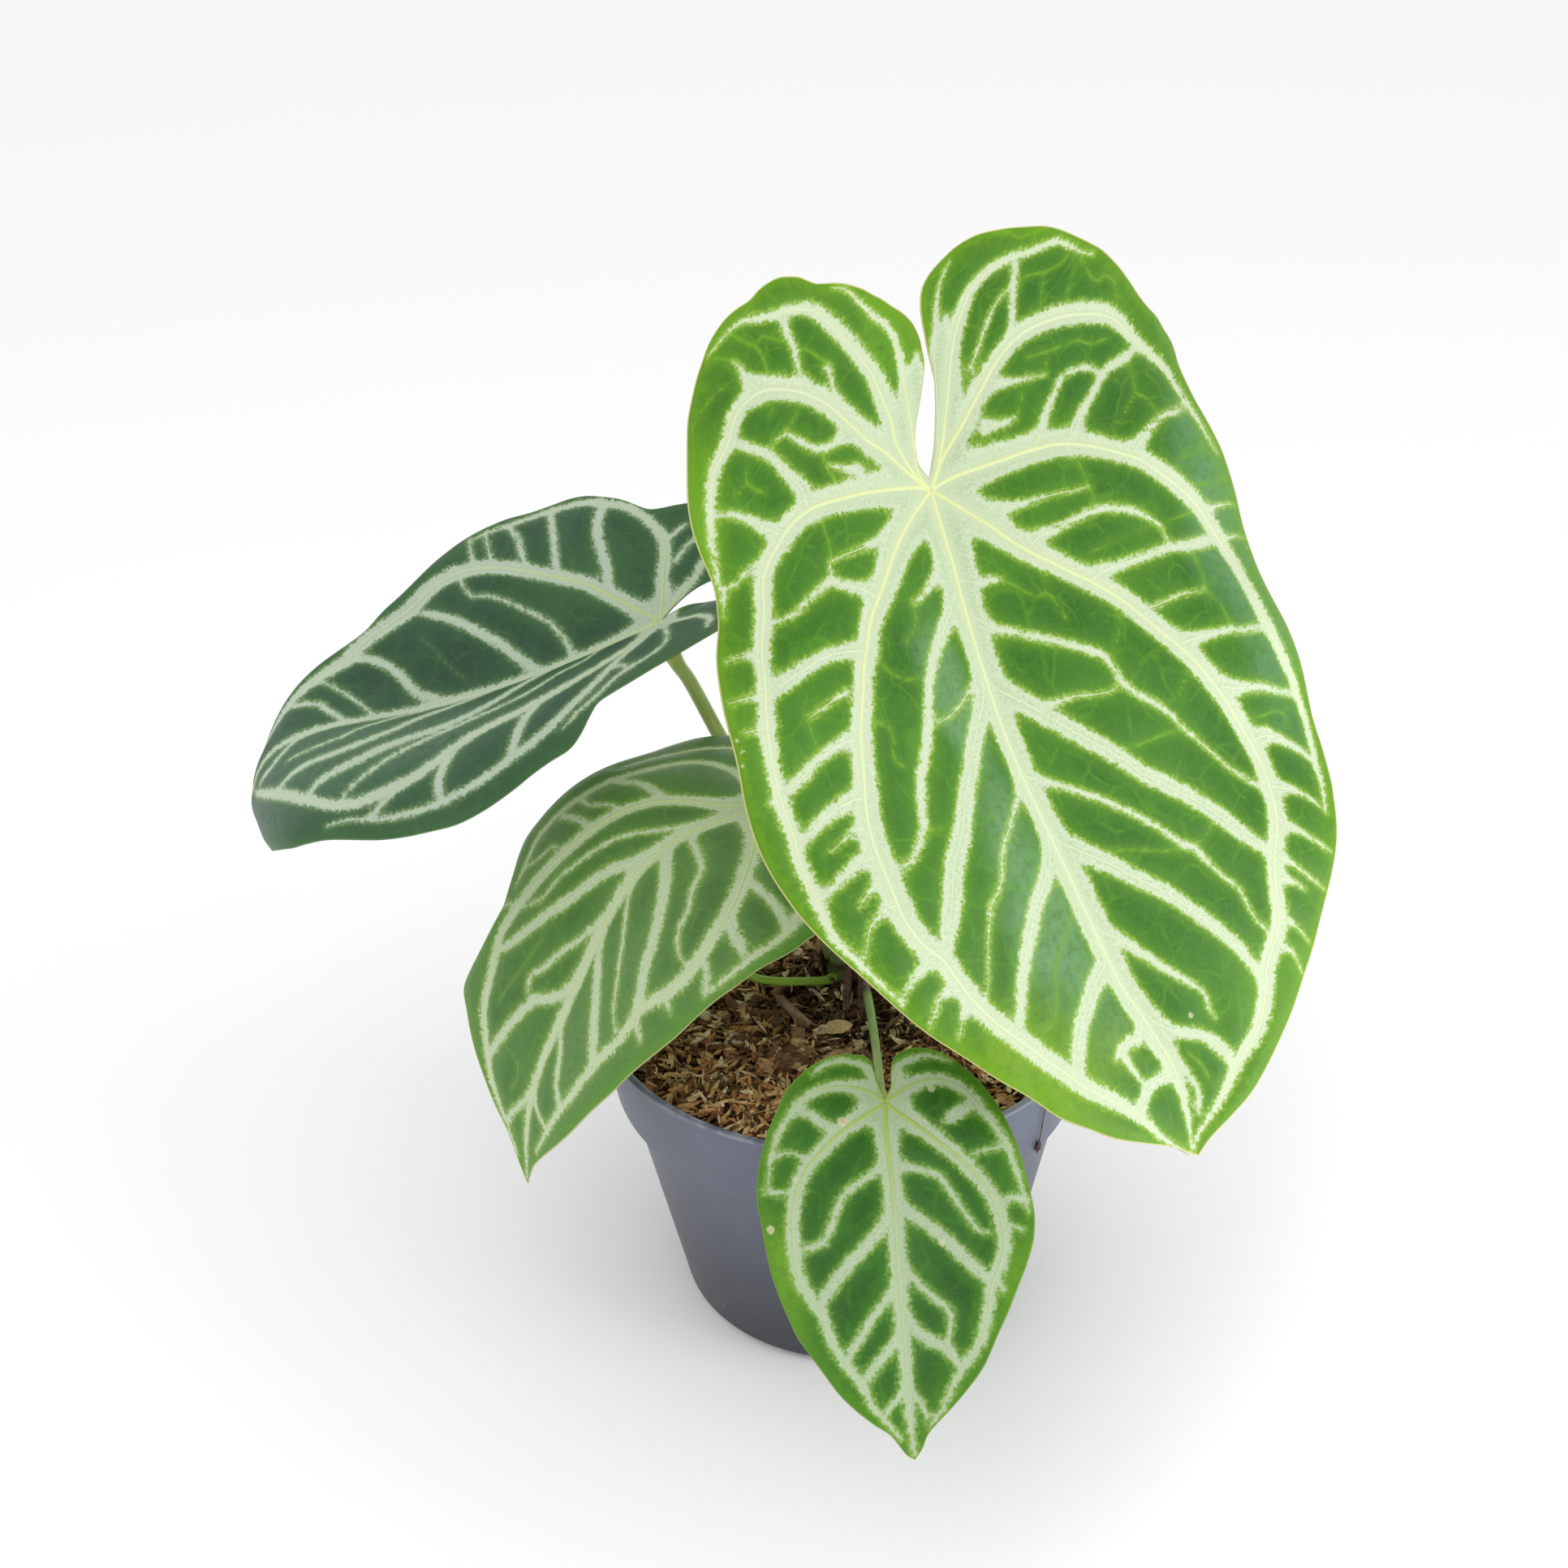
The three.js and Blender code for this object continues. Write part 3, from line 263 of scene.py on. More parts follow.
def joined(parts):
    """Bodies made one after the other as one list of points and one of groups of faces."""
    offset = np.cumsum([0] + [len(points) for points, *_ in parts])
    groups = zip(*([np.asarray(group) + o for group in groups] for (_, groups, *_), o in zip(parts, offset)))
    return np.vstack([points for points, *_ in parts]), [np.vstack(group) for group in groups]


def rounded(profile, radius, steps=4):
    """A profile with each of its inner corners cut back and replaced by a short arc."""
    profile = np.asarray(profile, float)
    out = [profile[:1]]
    for before, corner, after in zip(profile[:-2], profile[1:-1], profile[2:]):
        reach = [min(radius, 0.45 * np.linalg.norm(end - corner)) for end in (before, after)]
        start = corner + (before - corner) * reach[0] / np.linalg.norm(before - corner)
        stop = corner + (after - corner) * reach[1] / np.linalg.norm(after - corner)
        t = np.linspace(0, 1, steps)[:, None]
        out.append((1 - t) ** 2 * start + 2 * t * (1 - t) * corner + t ** 2 * stop)
    return np.vstack([*out, profile[-1:]])


pot_profile = rounded([
    [0.6, 0], [BASE_RADIUS - BASE_CHAMFER, 0], [BASE_RADIUS, BASE_CHAMFER],
    [BODY_TOP_RADIUS, COLLAR_FOOT - 0.6], [COLLAR_FOOT_RADIUS, COLLAR_FOOT + 0.6],
    [RIM_RADIUS, POT_HEIGHT - LIP_HEIGHT], [RIM_RADIUS + LIP, POT_HEIGHT - LIP_HEIGHT + 0.4],
    [RIM_RADIUS + LIP, POT_HEIGHT], [RIM_RADIUS - WALL, POT_HEIGHT],
    [COLLAR_FOOT_RADIUS - WALL, COLLAR_FOOT + 1.2], [BODY_TOP_RADIUS - WALL, COLLAR_FOOT],
    [BASE_RADIUS - WALL, POT_FLOOR + 1], [BASE_RADIUS - WALL - 1.5, POT_FLOOR], [0.6, POT_FLOOR],
], 0.8)
pot_rings = turned(pot_profile, AROUND)
pot = make_piece("nursery_pot", *closed_rings(pot_rings, (0, 0, 0), (0, 0, POT_FLOOR)), "pot")
drill = turned([[DRAIN_RADIUS, -POT_FLOOR], [DRAIN_RADIUS, 2 * POT_FLOOR]], DRAIN_AROUND).reshape(-1, 3)
centres = spun(DRAIN_CIRCLE, all_round(DRAIN_HOLES), 0)
drills = joined([(centre + drill, tube_faces(2, DRAIN_AROUND)) for centre in centres])
cutter = make_piece("drain_drills", *drills, "pot", smooth=False)
boolean = pot.modifiers.new("drain holes", "BOOLEAN")
boolean.operation = "DIFFERENCE"
boolean.object = cutter
bpy.context.view_layer.update()
cut_mesh = bpy.data.meshes.new_from_object(pot.evaluated_get(bpy.context.evaluated_depsgraph_get()))
pot.modifiers.clear()
pot.data = cut_mesh
bpy.data.objects.remove(cutter)
cut_mesh.polygons.foreach_set("use_smooth", np.full(len(cut_mesh.polygons), True))
cut_mesh.set_sharp_from_angle(angle=np.radians(40))

pot_finish, shader, start = finish_of("slate plastic", {"Specular IOR Level": 0.5})
place = solid_place(start)
height = start.node("ShaderNodeSeparateXYZ", None, {0: place}, 2)
cloud = noise(start, place, 28, 4, 0.6)
specks = noise(start, place, 900, 2, 0.6)
# The body is painted darker towards its foot: painted shade, where the light from above reaches it less.
high = (height + (cloud - 0.5) * 0.01).step(0.004, 0.084)
upper = cloud.step(0.3, 0.7).mix(srgb(84, 90, 106), srgb(98, 104, 122))
body_colour = high.mix(srgb(42, 46, 54), upper)
dust = specks.step(0.66, 0.74) * noise(start, place, 60, 3).step(0.5, 0.62)
dusty = (dust * 0.5).mix(body_colour, srgb(150, 148, 146))
near_foot = height.step(0.03, 0.004)
splash = noise(start, place, 420, 3, 0.7).step(0.64, 0.7) * near_foot
splashed = (splash * 0.75).mix(dusty, srgb(158, 142, 122))
# The top of the lip is painted paler in patches: a painted highlight along the rim.
lip_highlight = height.step((POT_HEIGHT - 1.1) * MM, (POT_HEIGHT - 0.3) * MM)
lip_highlighted = (lip_highlight * noise(start, place, 160, 3).step(0.3, 0.6) * 0.55).mix(splashed, srgb(168, 172, 184))
feed(lip_highlighted, shader, "Base Color")
feed(cloud * 0.16 + 0.36 + dust * 0.3, shader, "Roughness")
streaks = stretched(start, (1, 1, 0.06))
bump(start, noise(start, streaks, 260, 3) * 0.5 + noise(start, place, 1500, 2) * 0.25, 0.0002, 0.35, shader)
pot.data.materials.clear()
pot.data.materials.append(pot_finish)
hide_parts("pot")


# The filling: coir, compost and bark packed to a little below the rim. A bed of dark
# compost carries thousands of loose splinters, crumbs, fibres and a few pale pebbles.
SOIL_LEVEL = 79
SOIL_RELIEF = 0.66
MOUND_HEIGHT = 1.2
MOUND_SPREAD = 16
STEM_X = 0.5
STEM_Y = 11
SOIL_RADIUS = 57.2
random = np.random.default_rng(7)


def soil_height(x, y):
    """A low mound round the stem with soft lumps: three crossed sine waves and a bell."""
    lumps = (np.sin(x * 0.21 + 1.3) * np.cos(y * 0.17 - 0.6) + 0.6 * np.sin(x * 0.47 - y * 0.39)
             + 0.4 * np.cos(x * 0.83 + y * 0.71))
    near = ((x - STEM_X) ** 2 + (y - STEM_Y) ** 2) / MOUND_SPREAD ** 2
    return SOIL_LEVEL + SOIL_RELIEF * lumps + MOUND_HEIGHT * np.exp(-near)


def rough(x, y):
    """Fine lumps of the bed: sine waves that cross at many angles, half a millimetre high."""
    return (0.3 * np.sin(x * 2.1 + np.sin(y * 1.3)) * np.sin(y * 2.3 + np.sin(x * 1.7))
            + 0.2 * np.sin(x * 4.7 + y * 1.9) * np.cos(y * 4.1 - x * 2.2))


BED_AROUND = 220
BED_FOOT = POT_FLOOR + 0.5
BED_SUNK = 0.7
share = np.linspace(0.004, 1, 120)
angle = all_round(BED_AROUND)
bed_x = SOIL_RADIUS * share[::-1, None] * np.cos(angle)
bed_y = SOIL_RADIUS * share[::-1, None] * np.sin(angle)
bed_z = soil_height(bed_x, bed_y) - BED_SUNK + rough(bed_x, bed_y)
bed_top = np.stack([bed_x, bed_y, bed_z], -1)
skirt = turned([[39, BED_FOOT], [40, BED_FOOT + 1.1], [51.9, COLLAR_FOOT], [54.9, COLLAR_FOOT + 2],
                [57, SOIL_LEVEL - 3]], BED_AROUND)
bed = closed_rings(np.vstack([skirt, bed_top]), (0, 0, BED_FOOT), (0, 0, soil_height(0, 0) - BED_SUNK))
soil = make_piece("compost_bed", *bed, "soil")
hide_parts("soil")


def paint(piece, name, values):
    """A number for each vertex of a piece, which its material can read by name."""
    added = piece.data.attributes.new(name, "FLOAT", "POINT")
    added.data.foreach_set("value", np.asarray(values, np.float32))


def attribute(start, name, output=2):
    return start.node("ShaderNodeAttribute", {"attribute_name": name}, None, output)


def scattered(count, outer, gap=0):
    """Places spread evenly over the bed, by the square root of a random area share, without
    those nearer to the stem than the gap."""
    radius = np.sqrt(random.uniform(0, outer ** 2, count))
    angle = random.uniform(0, TURN, count)
    x, y = radius * np.cos(angle), radius * np.sin(angle)
    clear = np.hypot(x - STEM_X, y - STEM_Y) > gap
    return x[clear], y[clear]


def for_each(groups, count, per):
    """One body's groups of faces repeated for many bodies that have so many points each."""
    starts = (np.arange(count) * per)[:, None, None]
    return [(np.asarray(group)[None] + starts).reshape(-1, np.shape(group)[-1]) for group in groups]


def turned_by(points, yaw, tilt, roll):
    """Points of many bodies turned about their length, then tipped, then spun round the upright."""
    c, s = np.cos(roll)[:, None], np.sin(roll)[:, None]
    x, y, z = points[..., 0], points[..., 1] * c - points[..., 2] * s, points[..., 1] * s + points[..., 2] * c
    c, s = np.cos(tilt)[:, None], np.sin(tilt)[:, None]
    x, z = x * c - z * s, x * s + z * c
    c, s = np.cos(yaw)[:, None], np.sin(yaw)[:, None]
    return np.stack([x * c - y * s, x * s + y * c, z], -1)


def splinters(places, length, width, thick, lift, tilt):
    """Torn slivers: five-sided sections at five stations, narrower at both ends, bent and
    twisted; those by the wall turn along it."""
    px, py = places
    count, stations, around = len(px), 5, 5
    along = np.linspace(-0.5, 0.5, stations)[None, :, None]
    swell = np.array([0.35, 0.9, 1.0, 0.85, 0.3])[None, :, None]
    angle = all_round(around)
    long, wide, deep = (random.uniform(*size, count)[:, None, None] for size in (length, width, thick))
    jag = 1 + random.uniform(-0.3, 0.3, (count, stations, around))
    bow = random.uniform(-0.12, 0.12, count)[:, None, None] * long
    x = along * long + random.uniform(-0.12, 0.12, (count, stations, around)) * wide
    y = 0.5 * wide * swell * np.cos(angle) * jag + bow * (along * 2) ** 2
    z = 0.5 * deep * swell * np.sin(angle) * jag
    bodies = np.stack([x, y, z], -1).reshape(count, -1, 3)
    yaw = random.uniform(0, TURN, count)
    beyond = np.hypot(px, py) > np.clip(SOIL_RADIUS + 0.2 - 0.5 * long[:, 0, 0], 0, SOIL_RADIUS - 0.2)
    yaw = np.where(beyond, np.arctan2(py, px) + np.pi / 2 + random.uniform(-0.5, 0.5, count), yaw)
    bodies = turned_by(bodies, yaw, random.normal(0, tilt, count), random.uniform(0, TURN, count))
    bodies += np.stack([px, py, soil_height(px, py) + random.uniform(*lift, count)], -1)[:, None]
    per = stations * around
    faces = for_each(tube_faces(stations, around), count, per)
    return bodies.reshape(-1, 3), faces, np.repeat(random.uniform(0, 1, count), per)


def litter_finish(name, ramp, dark_centre, grain, roughness):
    """Loose litter: each piece takes one colour of a ramp by its tone, streaked by fine grain,
    and darkens towards the stem."""
    material, shader, start = finish_of(name, {"Roughness": roughness, "Specular IOR Level": 0.25})
    tone = attribute(start, "tone")
    place = solid_place(start)
    streak = noise(start, place, grain, 3, 0.7)
    shaded = streak.step(0.2, 0.6).mix(srgb(62, 42, 28), tone.ramp(*ramp))
    away = place.vector("DISTANCE", (STEM_X * MM + 0.006, STEM_Y * MM - 0.01, 0.08), 1)
    black = away.step(0.034, 0.015) * dark_centre * tone.step(0.9, 0.75)
    feed(black.mix(shaded, srgb(34, 24, 18)), shader, "Base Color")
    bump(start, streak, 0.0004, 0.7, shader)
    return material


def litter(name, parts, finish, smooth=False):
    """One piece of many loose bodies, each with its own tone."""
    points, faces, tone = parts
    piece = make_piece(name, points, faces, "soil", smooth)
    paint(piece, "tone", tone)
    piece.data.materials.append(finish)


chips = splinters(scattered(4100, 55.8, 7.5), (2.4, 6.0), (0.7, 1.7), (0.4, 1.0), (-0.5, 1.6), 0.28)
litter("coir_chips", chips, litter_finish("coir and wood", (
    (0.0, (116, 76, 44)), (0.22, (178, 124, 76)), (0.45, (218, 164, 106)), (0.68, (234, 190, 132)),
    (0.86, (240, 210, 160)), (1.0, (246, 230, 194))), 0.85, 900, 0.9))
bark = splinters(scattered(130, 53, 9), (5, 9.5), (2.0, 4.4), (0.5, 1.1), (0.6, 1.9), 0.16)
litter("bark_chips", bark, litter_finish("bark", (
    (0.0, (112, 82, 60)), (0.4, (168, 128, 90)), (0.75, (208, 168, 122)),
    (1.0, (226, 200, 162))), 0.6, 700, 0.9))
fibres = splinters(scattered(260, 50, 8), (7, 16), (0.22, 0.42), (0.2, 0.36), (0.6, 1.9), 0.1)
litter("coir_fibres", fibres, litter_finish("coir fibre", (
    (0.0, (60, 40, 30)), (0.5, (118, 84, 56)), (1.0, (180, 140, 96))), 0.3, 500, 0.8), smooth=True)


def crumbs(places, size, lift):
    """Lumps: a cube's eight corners pulled about, each face left flat."""
    px, py = places
    count = len(px)
    corner = np.array([[x, y, z] for z in (-1, 1) for y in (-1, 1) for x in (-1, 1)]) * 0.5
    bodies = corner[None] * (1 + random.uniform(-0.45, 0.45, (count, 8, 3)))
    bodies = bodies * random.uniform(*size, (count, 1, 3))
    bodies = turned_by(bodies, *random.uniform(0, TURN, (3, count)))
    bodies += np.stack([px, py, soil_height(px, py) + random.uniform(*lift, count)], -1)[:, None]
    cube = [[0, 2, 3, 1], [4, 5, 7, 6], [0, 1, 5, 4], [2, 6, 7, 3], [0, 4, 6, 2], [1, 3, 7, 5]]
    return bodies.reshape(-1, 3), for_each([cube], count, 8), np.repeat(random.uniform(0, 1, count), 8)


lumps = crumbs(scattered(5200, 56.6), (0.4, 1.5), (-0.8, 0.7))
litter("compost_crumbs", lumps, litter_finish("compost", (
    (0.0, (50, 35, 24)), (0.6, (104, 74, 48)), (0.9, (164, 122, 80)),
    (1.0, (208, 166, 118))), 0.8, 1100, 0.95))

# Each pebble's place and size in millimetres.
PEBBLES = [(-10.9, -17.1, 2.6), (3.2, -16.4, 2.2), (-11.4, -24.2, 1.7), (-9.3, 24, 2.6), (-11.5, 19.8, 2.2),
           (-29.5, -4.8, 2.1), (-34, -4.7, 2.3), (12, -13, 1.8), (24, 3, 2.2), (30, -22, 1.9), (-20, 33, 2.3),
           (8, 38, 2.1), (-38, 22, 1.8), (40, 18, 2.2), (-4.2, -2.2, 1.8), (17, -8, 2.4), (21, -12, 1.7),
           (-24, -40, 1.4), (35, 33, 1.9), (-44, -8, 1.4)]


def pebbles(table):
    """Worn stones: spheres squashed, with slow bulges from crossed sines, resting on the bed."""
    rows, around = 9, 14
    tall = np.linspace(-1, 1, rows + 2)[1:-1, None] * np.pi / 2 * 0.985
    unit = spun(np.cos(tall), all_round(around), np.sin(tall)).reshape(-1, 3)
    shapes = []
    for x, y, size in table:
        bulge = (1 + 0.16 * np.sin(unit @ [2.1, 1.3, 1.7] * 1.9 + x)
                 + 0.1 * np.sin(unit @ [-1.6, 2.4, 1.1] * 2.6 + y))
        body = unit * bulge[:, None] * np.array([1.15, 0.85, 0.62]) * size * 0.75
        body = turned_by(body[None], *np.array([[x + y], [0.2 * np.sin(x)], [0.15 * np.cos(y)]]))[0]
        shapes.append(body + [x, y, soil_height(x, y) + 1.1])
    faces = for_each(tube_faces(rows, around), len(table), rows * around)
    return np.concatenate(shapes), faces, np.repeat(random.uniform(0, 1, len(table)), rows * around)


litter("pebbles", pebbles(PEBBLES), litter_finish("pale pebble", (
    (0.0, (196, 166, 112)), (0.5, (216, 190, 138)), (1.0, (232, 212, 168))), 0.1, 420, 0.75), smooth=True)

bed_finish, shader, start = finish_of("dark compost", {"Roughness": 0.95, "Specular IOR Level": 0.2})
lump = noise(start, solid_place(start), 700, 4, 0.65)
feed(lump.step(0.35, 0.7).mix(srgb(34, 23, 17), srgb(104, 72, 48)), shader, "Base Color")
bump(start, lump, 0.001, 0.8, shader)
soil.data.materials.append(bed_finish)


# A shard of bark: a split stick of grey-brown bark that lies across the chips in front of
# the stem, with torn ends and a grain that runs along it.
SHARD_LENGTH = 15
SHARD_THICK = 1.35
SHARD_THIN = 1.1
SHARD_FLAT = 0.8
SHARD_TURN = np.radians(31)
SHARD_X = -12.2
SHARD_Y = -5.8
SHARD_LIFT = 2.1
SHARD_RINGS, SHARD_AROUND = 40, 28



def laid_down(along, across, rise, turn, x, y, lift):
    """Points of a body turned about the upright and laid on the bed at a place."""
    return np.stack([along * np.cos(turn) - across * np.sin(turn) + x,
                     along * np.sin(turn) + across * np.cos(turn) + y,
                     rise + soil_height(x, y) + lift], -1)


t = np.linspace(-0.5, 0.5, SHARD_RINGS)[:, None]
angle = all_round(SHARD_AROUND)
radius = (SHARD_THICK + SHARD_THIN) / 2 - (SHARD_THICK - SHARD_THIN) * t
square = 1 / np.maximum(np.abs(np.cos(angle)) ** 3 + np.abs(np.sin(angle)) ** 3, 0.01) ** (1 / 3)
ridge = (1 + 0.07 * np.sin(angle * 7 + 5 * t) + 0.04 * np.sin(angle * 13 - 9 * t)
         + 0.03 * np.sin(t * 60 + angle * 2))
torn = 0.5 * np.sin(angle * 3 + 1) + 0.35 * np.sin(angle * 8)
y = t * (SHARD_LENGTH - 0.8) + torn * np.sign(t) * (np.abs(t) > 0.47)
x = radius * square * ridge * np.cos(angle)
z = radius * square * ridge * np.sin(angle) * SHARD_FLAT
shard_points = laid_down(x, y, z, SHARD_TURN, SHARD_X, SHARD_Y, SHARD_LIFT)[::-1]
shard = make_piece("bark_stick", shard_points, tube_faces(SHARD_RINGS, SHARD_AROUND), "bark")
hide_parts("bark_shard")
shard_finish, shader, start = finish_of("weathered bark", {"Roughness": 0.85, "Specular IOR Level": 0.3})
laid = start.node("ShaderNodeMapping", {"vector_type": "TEXTURE"},
                  {"Vector": solid_place(start), "Rotation": (0, 0, SHARD_TURN), "Scale": (1, 5, 1)})
grain = noise(start, laid, 1100, 4, 0.7)
wood = grain.ramp((0.25, (70, 50, 40)), (0.5, (140, 108, 86)), (0.68, (172, 140, 114)),
                  (0.85, (200, 172, 144)))
feed(wood, shader, "Base Color")
bump(start, grain, 0.0006, 0.9, shader)
shard.data.materials.append(shard_finish)


# A seed husk: a flat almond-shaped scale, tan and thin, pointed at one end, that lies on
# the litter beside the shard.
HUSK_LENGTH = 4.2
HUSK_WIDTH = 2.5
HUSK_HEIGHT = 1.7
HUSK_TURN = np.radians(20)
HUSK_X = -2
HUSK_Y = -10.6
HUSK_LIFT = 1.8
HUSK_RINGS, HUSK_AROUND = 30, 36

polar = np.linspace(0.03, np.pi - 0.03, HUSK_RINGS)[:, None]
angle = all_round(HUSK_AROUND)
along = -np.cos(polar) * HUSK_LENGTH + 0 * angle
taper = np.sin(polar) * (1 - 0.25 * np.cos(polar)) * (1 - 0.55 * (polar > 1.57) * (-np.cos(polar)) ** 2)
across = taper * np.cos(angle) * HUSK_WIDTH * (1 + 0.05 * np.sin(along * 3))
rise = taper * np.sin(angle) * HUSK_HEIGHT * 0.62 + 0.35 * (1 - (along / HUSK_LENGTH) ** 2)
husk_points = laid_down(along, across, rise, HUSK_TURN, HUSK_X, HUSK_Y, HUSK_LIFT)
husk = make_piece("almond_husk", husk_points, tube_faces(HUSK_RINGS, HUSK_AROUND), "husk")
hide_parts("seed_husk")
husk_finish, shader, start = finish_of("tan husk", {"Roughness": 0.6})
vein = noise(start, stretched(start, (0.25, 1, 1)), 1400, 3, 0.6)
blush = noise(start, solid_place(start), 260, 2)
tan = (vein.step(0.35, 0.7) * 0.6 + blush * 0.3).mix(srgb(184, 148, 92), srgb(228, 196, 140))
feed(tan, shader, "Base Color")
bump(start, vein, 0.0003, 0.5, shader)
husk.data.materials.append(husk_finish)


# The stem: a short knuckled stump between the petioles' feet, ringed with old leaf scars,
# with brown papery sheaths standing against it and two brown roots going down in front.
STEM_RADIUS = 5.2
STEM_FOOT = 62
STEM_COLLAR = 77
STEM_TOP = 90
STEM_RINGS, STEM_AROUND = 70, 72

ring_place = np.array([0, 0.25, 0.45, 0.6, 0.7, 0.82, 0.9, 1])
ring_width = np.array([0.55, 0.8, 1, 0.86, 1.02, 0.82, 0.9, 0.55])
t = np.linspace(0, 1, STEM_RINGS)[:, None]
angle = all_round(STEM_AROUND)
knobs = (0.3 * np.sin(angle * 3 + t * 9) + 0.16 * np.sin(angle * 7 - t * 23)
         + 0.1 * np.sin(t * 70) + 0.1 * np.sin(angle * 17 + t * 5))
dome = np.where(t > 0.94, np.sqrt(np.maximum(1 - ((t - 0.94) / 0.075) ** 2, 0.02)), 1)
radius = (STEM_RADIUS * np.interp(t, ring_place, ring_width) + knobs) * dome
stem_points = spun(radius, angle, STEM_FOOT + (STEM_TOP - STEM_FOOT) * t, STEM_X, STEM_Y)
stem = make_piece("stem_stump", stem_points, tube_faces(STEM_RINGS, STEM_AROUND), "stem")
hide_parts("stem_base")
stem_finish, shader, start = finish_of("stem skin", {"Roughness": 0.6})
place = solid_place(start)
skin = noise(start, place, 240, 4, 0.6)
scar = start.node("ShaderNodeTexWave", {"bands_direction": "Z"},
                  {"Vector": place, "Scale": 75, "Distortion": 4, "Detail": 3}, 1)
green = skin.step(0.35, 0.65).mix(srgb(60, 76, 30), srgb(106, 114, 54))
feed((scar.step(0.62, 0.9) * 0.8).mix(green, srgb(70, 48, 34)), shader, "Base Color")
bump(start, skin + scar * 0.5, 0.0005, 0.6, shader)
stem.data.materials.append(stem_finish)


def closed_sheet(outer, inner):
    """Two grids of points closed round their edge: faces of one, faces of the other turned
    over, and a strip of quads along the border between them."""
    rows, columns = outer.shape[:2]
    index = np.arange(rows * columns).reshape(rows, columns)
    quads = np.stack([index[:-1, :-1], index[:-1, 1:], index[1:, 1:], index[1:, :-1]], -1).reshape(-1, 4)
    border = np.concatenate([index[0, :], index[1:, -1], index[-1, -2::-1], index[-2:0:-1, 0]])
    after = np.roll(border, -1)
    behind = rows * columns
    strip = np.stack([after, border, border + behind, after + behind], -1)
    return np.stack([outer, inner]).reshape(-1, 3), [np.vstack([quads, quads[:, ::-1] + behind, strip])]


SHEATH_THICK = 0.28


def sheath(turn, height, out, width, lean, seed):
    """A torn papery scale: a strip curved round the stem, narrowing to a ragged tip as it
    rises, leaning out by its height squared; its back is the same strip a little inside."""
    b, a = np.meshgrid(np.linspace(0, 1, 26), np.linspace(-1, 1, 25), indexing="ij")
    half = width * (1 - 0.75 * b ** 1.6) * (1 + 0.08 * np.sin(b * 17 + seed))
    crinkle = 0.22 * np.sin(a * 7 + seed * 2 + b * 5) * b + 0.12 * np.sin(b * 21 + a * 4 + seed)
    ragged = 1 - 0.14 * np.abs(np.sin(a * 5 + seed * 3)) * (b > 0.9)
    spread = np.radians(turn) + a * half / (out + 0.5)
    radius = out + lean * b ** 2 + crinkle
    return closed_sheet(*(spun(radius - inward, spread, STEM_COLLAR + height * b * ragged, STEM_X, STEM_Y)
                          for inward in (0, SHEATH_THICK)))


# Each sheath's turn in degrees, height, distance out, half width and lean, and its seed.
SHEATHS = [(-70, 10, 5.3, 3.4, 1.4, 1.0), (35, 12, 4.9, 3.8, 1.6, 2.2), (160, 9, 5.3, 3.6, 1.8, 3.1),
           (-125, 7, 5.6, 2.4, 1.2, 4.3), (-168, 12, 5.7, 2.2, 2.4, 5.1)]
sheaths = make_piece("papery_sheaths", *joined([sheath(*row) for row in SHEATHS]), "stem")
sheath_finish, shader, start = finish_of("papery sheath", {"Roughness": 0.7})
fibre = noise(start, stretched(start, (1, 1, 0.12)), 1600, 3, 0.7)
feed(fibre.step(0.3, 0.75).mix(srgb(64, 40, 32), srgb(150, 108, 80)), shader, "Base Color")
bump(start, fibre, 0.0003, 0.7, shader)
sheaths.data.materials.append(sheath_finish)


def catmull(points, steps):
    """A smooth line through points: on each span the cubic whose slope at both ends is half
    the way between the neighbours."""
    points = np.asarray(points, float)
    ends = np.vstack([2 * points[0] - points[1], points, 2 * points[-1] - points[-2]])
    t = (np.arange(steps) / steps)[None, :, None]
    a, b, c, d = ends[:-3, None], ends[1:-2, None], ends[2:-1, None], ends[3:, None]
    line = 0.5 * (2 * b + (c - a) * t + (2 * a - 5 * b + 4 * c - d) * t ** 2
                  + (3 * b - a - 3 * c + d) * t ** 3)
    return np.vstack([line.reshape(-1, points.shape[1]), points[-1:]])


def lengths(line):
    """How far along a line each of its points is."""
    return np.concatenate([[0], np.cumsum(np.linalg.norm(np.diff(line, axis=0), axis=1))])


def even(line, count):
    """A line's points moved to even steps of its length."""
    reach = lengths(line)
    place = np.linspace(0, reach[-1], count)
    return np.stack([np.interp(place, reach, column) for column in line.T], -1)


def tube(points, radius_along, groove, count, around, reference):
    """A stalk: rings square to a smooth line, each of the radius that radius_along gives at
    its share of the length, drawn in along one side to a shallow groove."""
    line = even(catmull(points, 24), count)
    ahead = np.gradient(line, axis=0)
    ahead /= np.linalg.norm(ahead, axis=1)[:, None]
    side = np.cross(reference, ahead)
    side /= np.linalg.norm(side, axis=1)[:, None]
    top = np.cross(ahead, side)
    angle = all_round(around)
    away = np.abs((angle - np.pi / 2 + np.pi) % TURN - np.pi)
    radius = radius_along(np.linspace(0, 1, count))[:, None] * (1 - groove * np.exp(-(away / 0.45) ** 2))
    rings = (line[:, None] + radius[..., None] * (np.cos(angle)[None, :, None] * side[:, None]
                                                  + np.sin(angle)[None, :, None] * top[:, None]))
    return rings.reshape(-1, 3), tube_faces(count, around), np.tile(angle, count)


def root(points, radius):
    """A root that tapers by a third and has slow knots."""
    return tube(points, lambda s: radius * (1 - 0.35 * s + 0.08 * np.sin(s * 31 + radius * 9)), 0, 44, 16,
                ROOT_SIDE)


def tail(s):
    """The hanging root's radius: a thread with a frayed knot near its end."""
    return 0.15 + 0.5 * np.exp(-((s - 0.92) / 0.05) ** 2) * (1 + 0.6 * np.sin(s * 190))


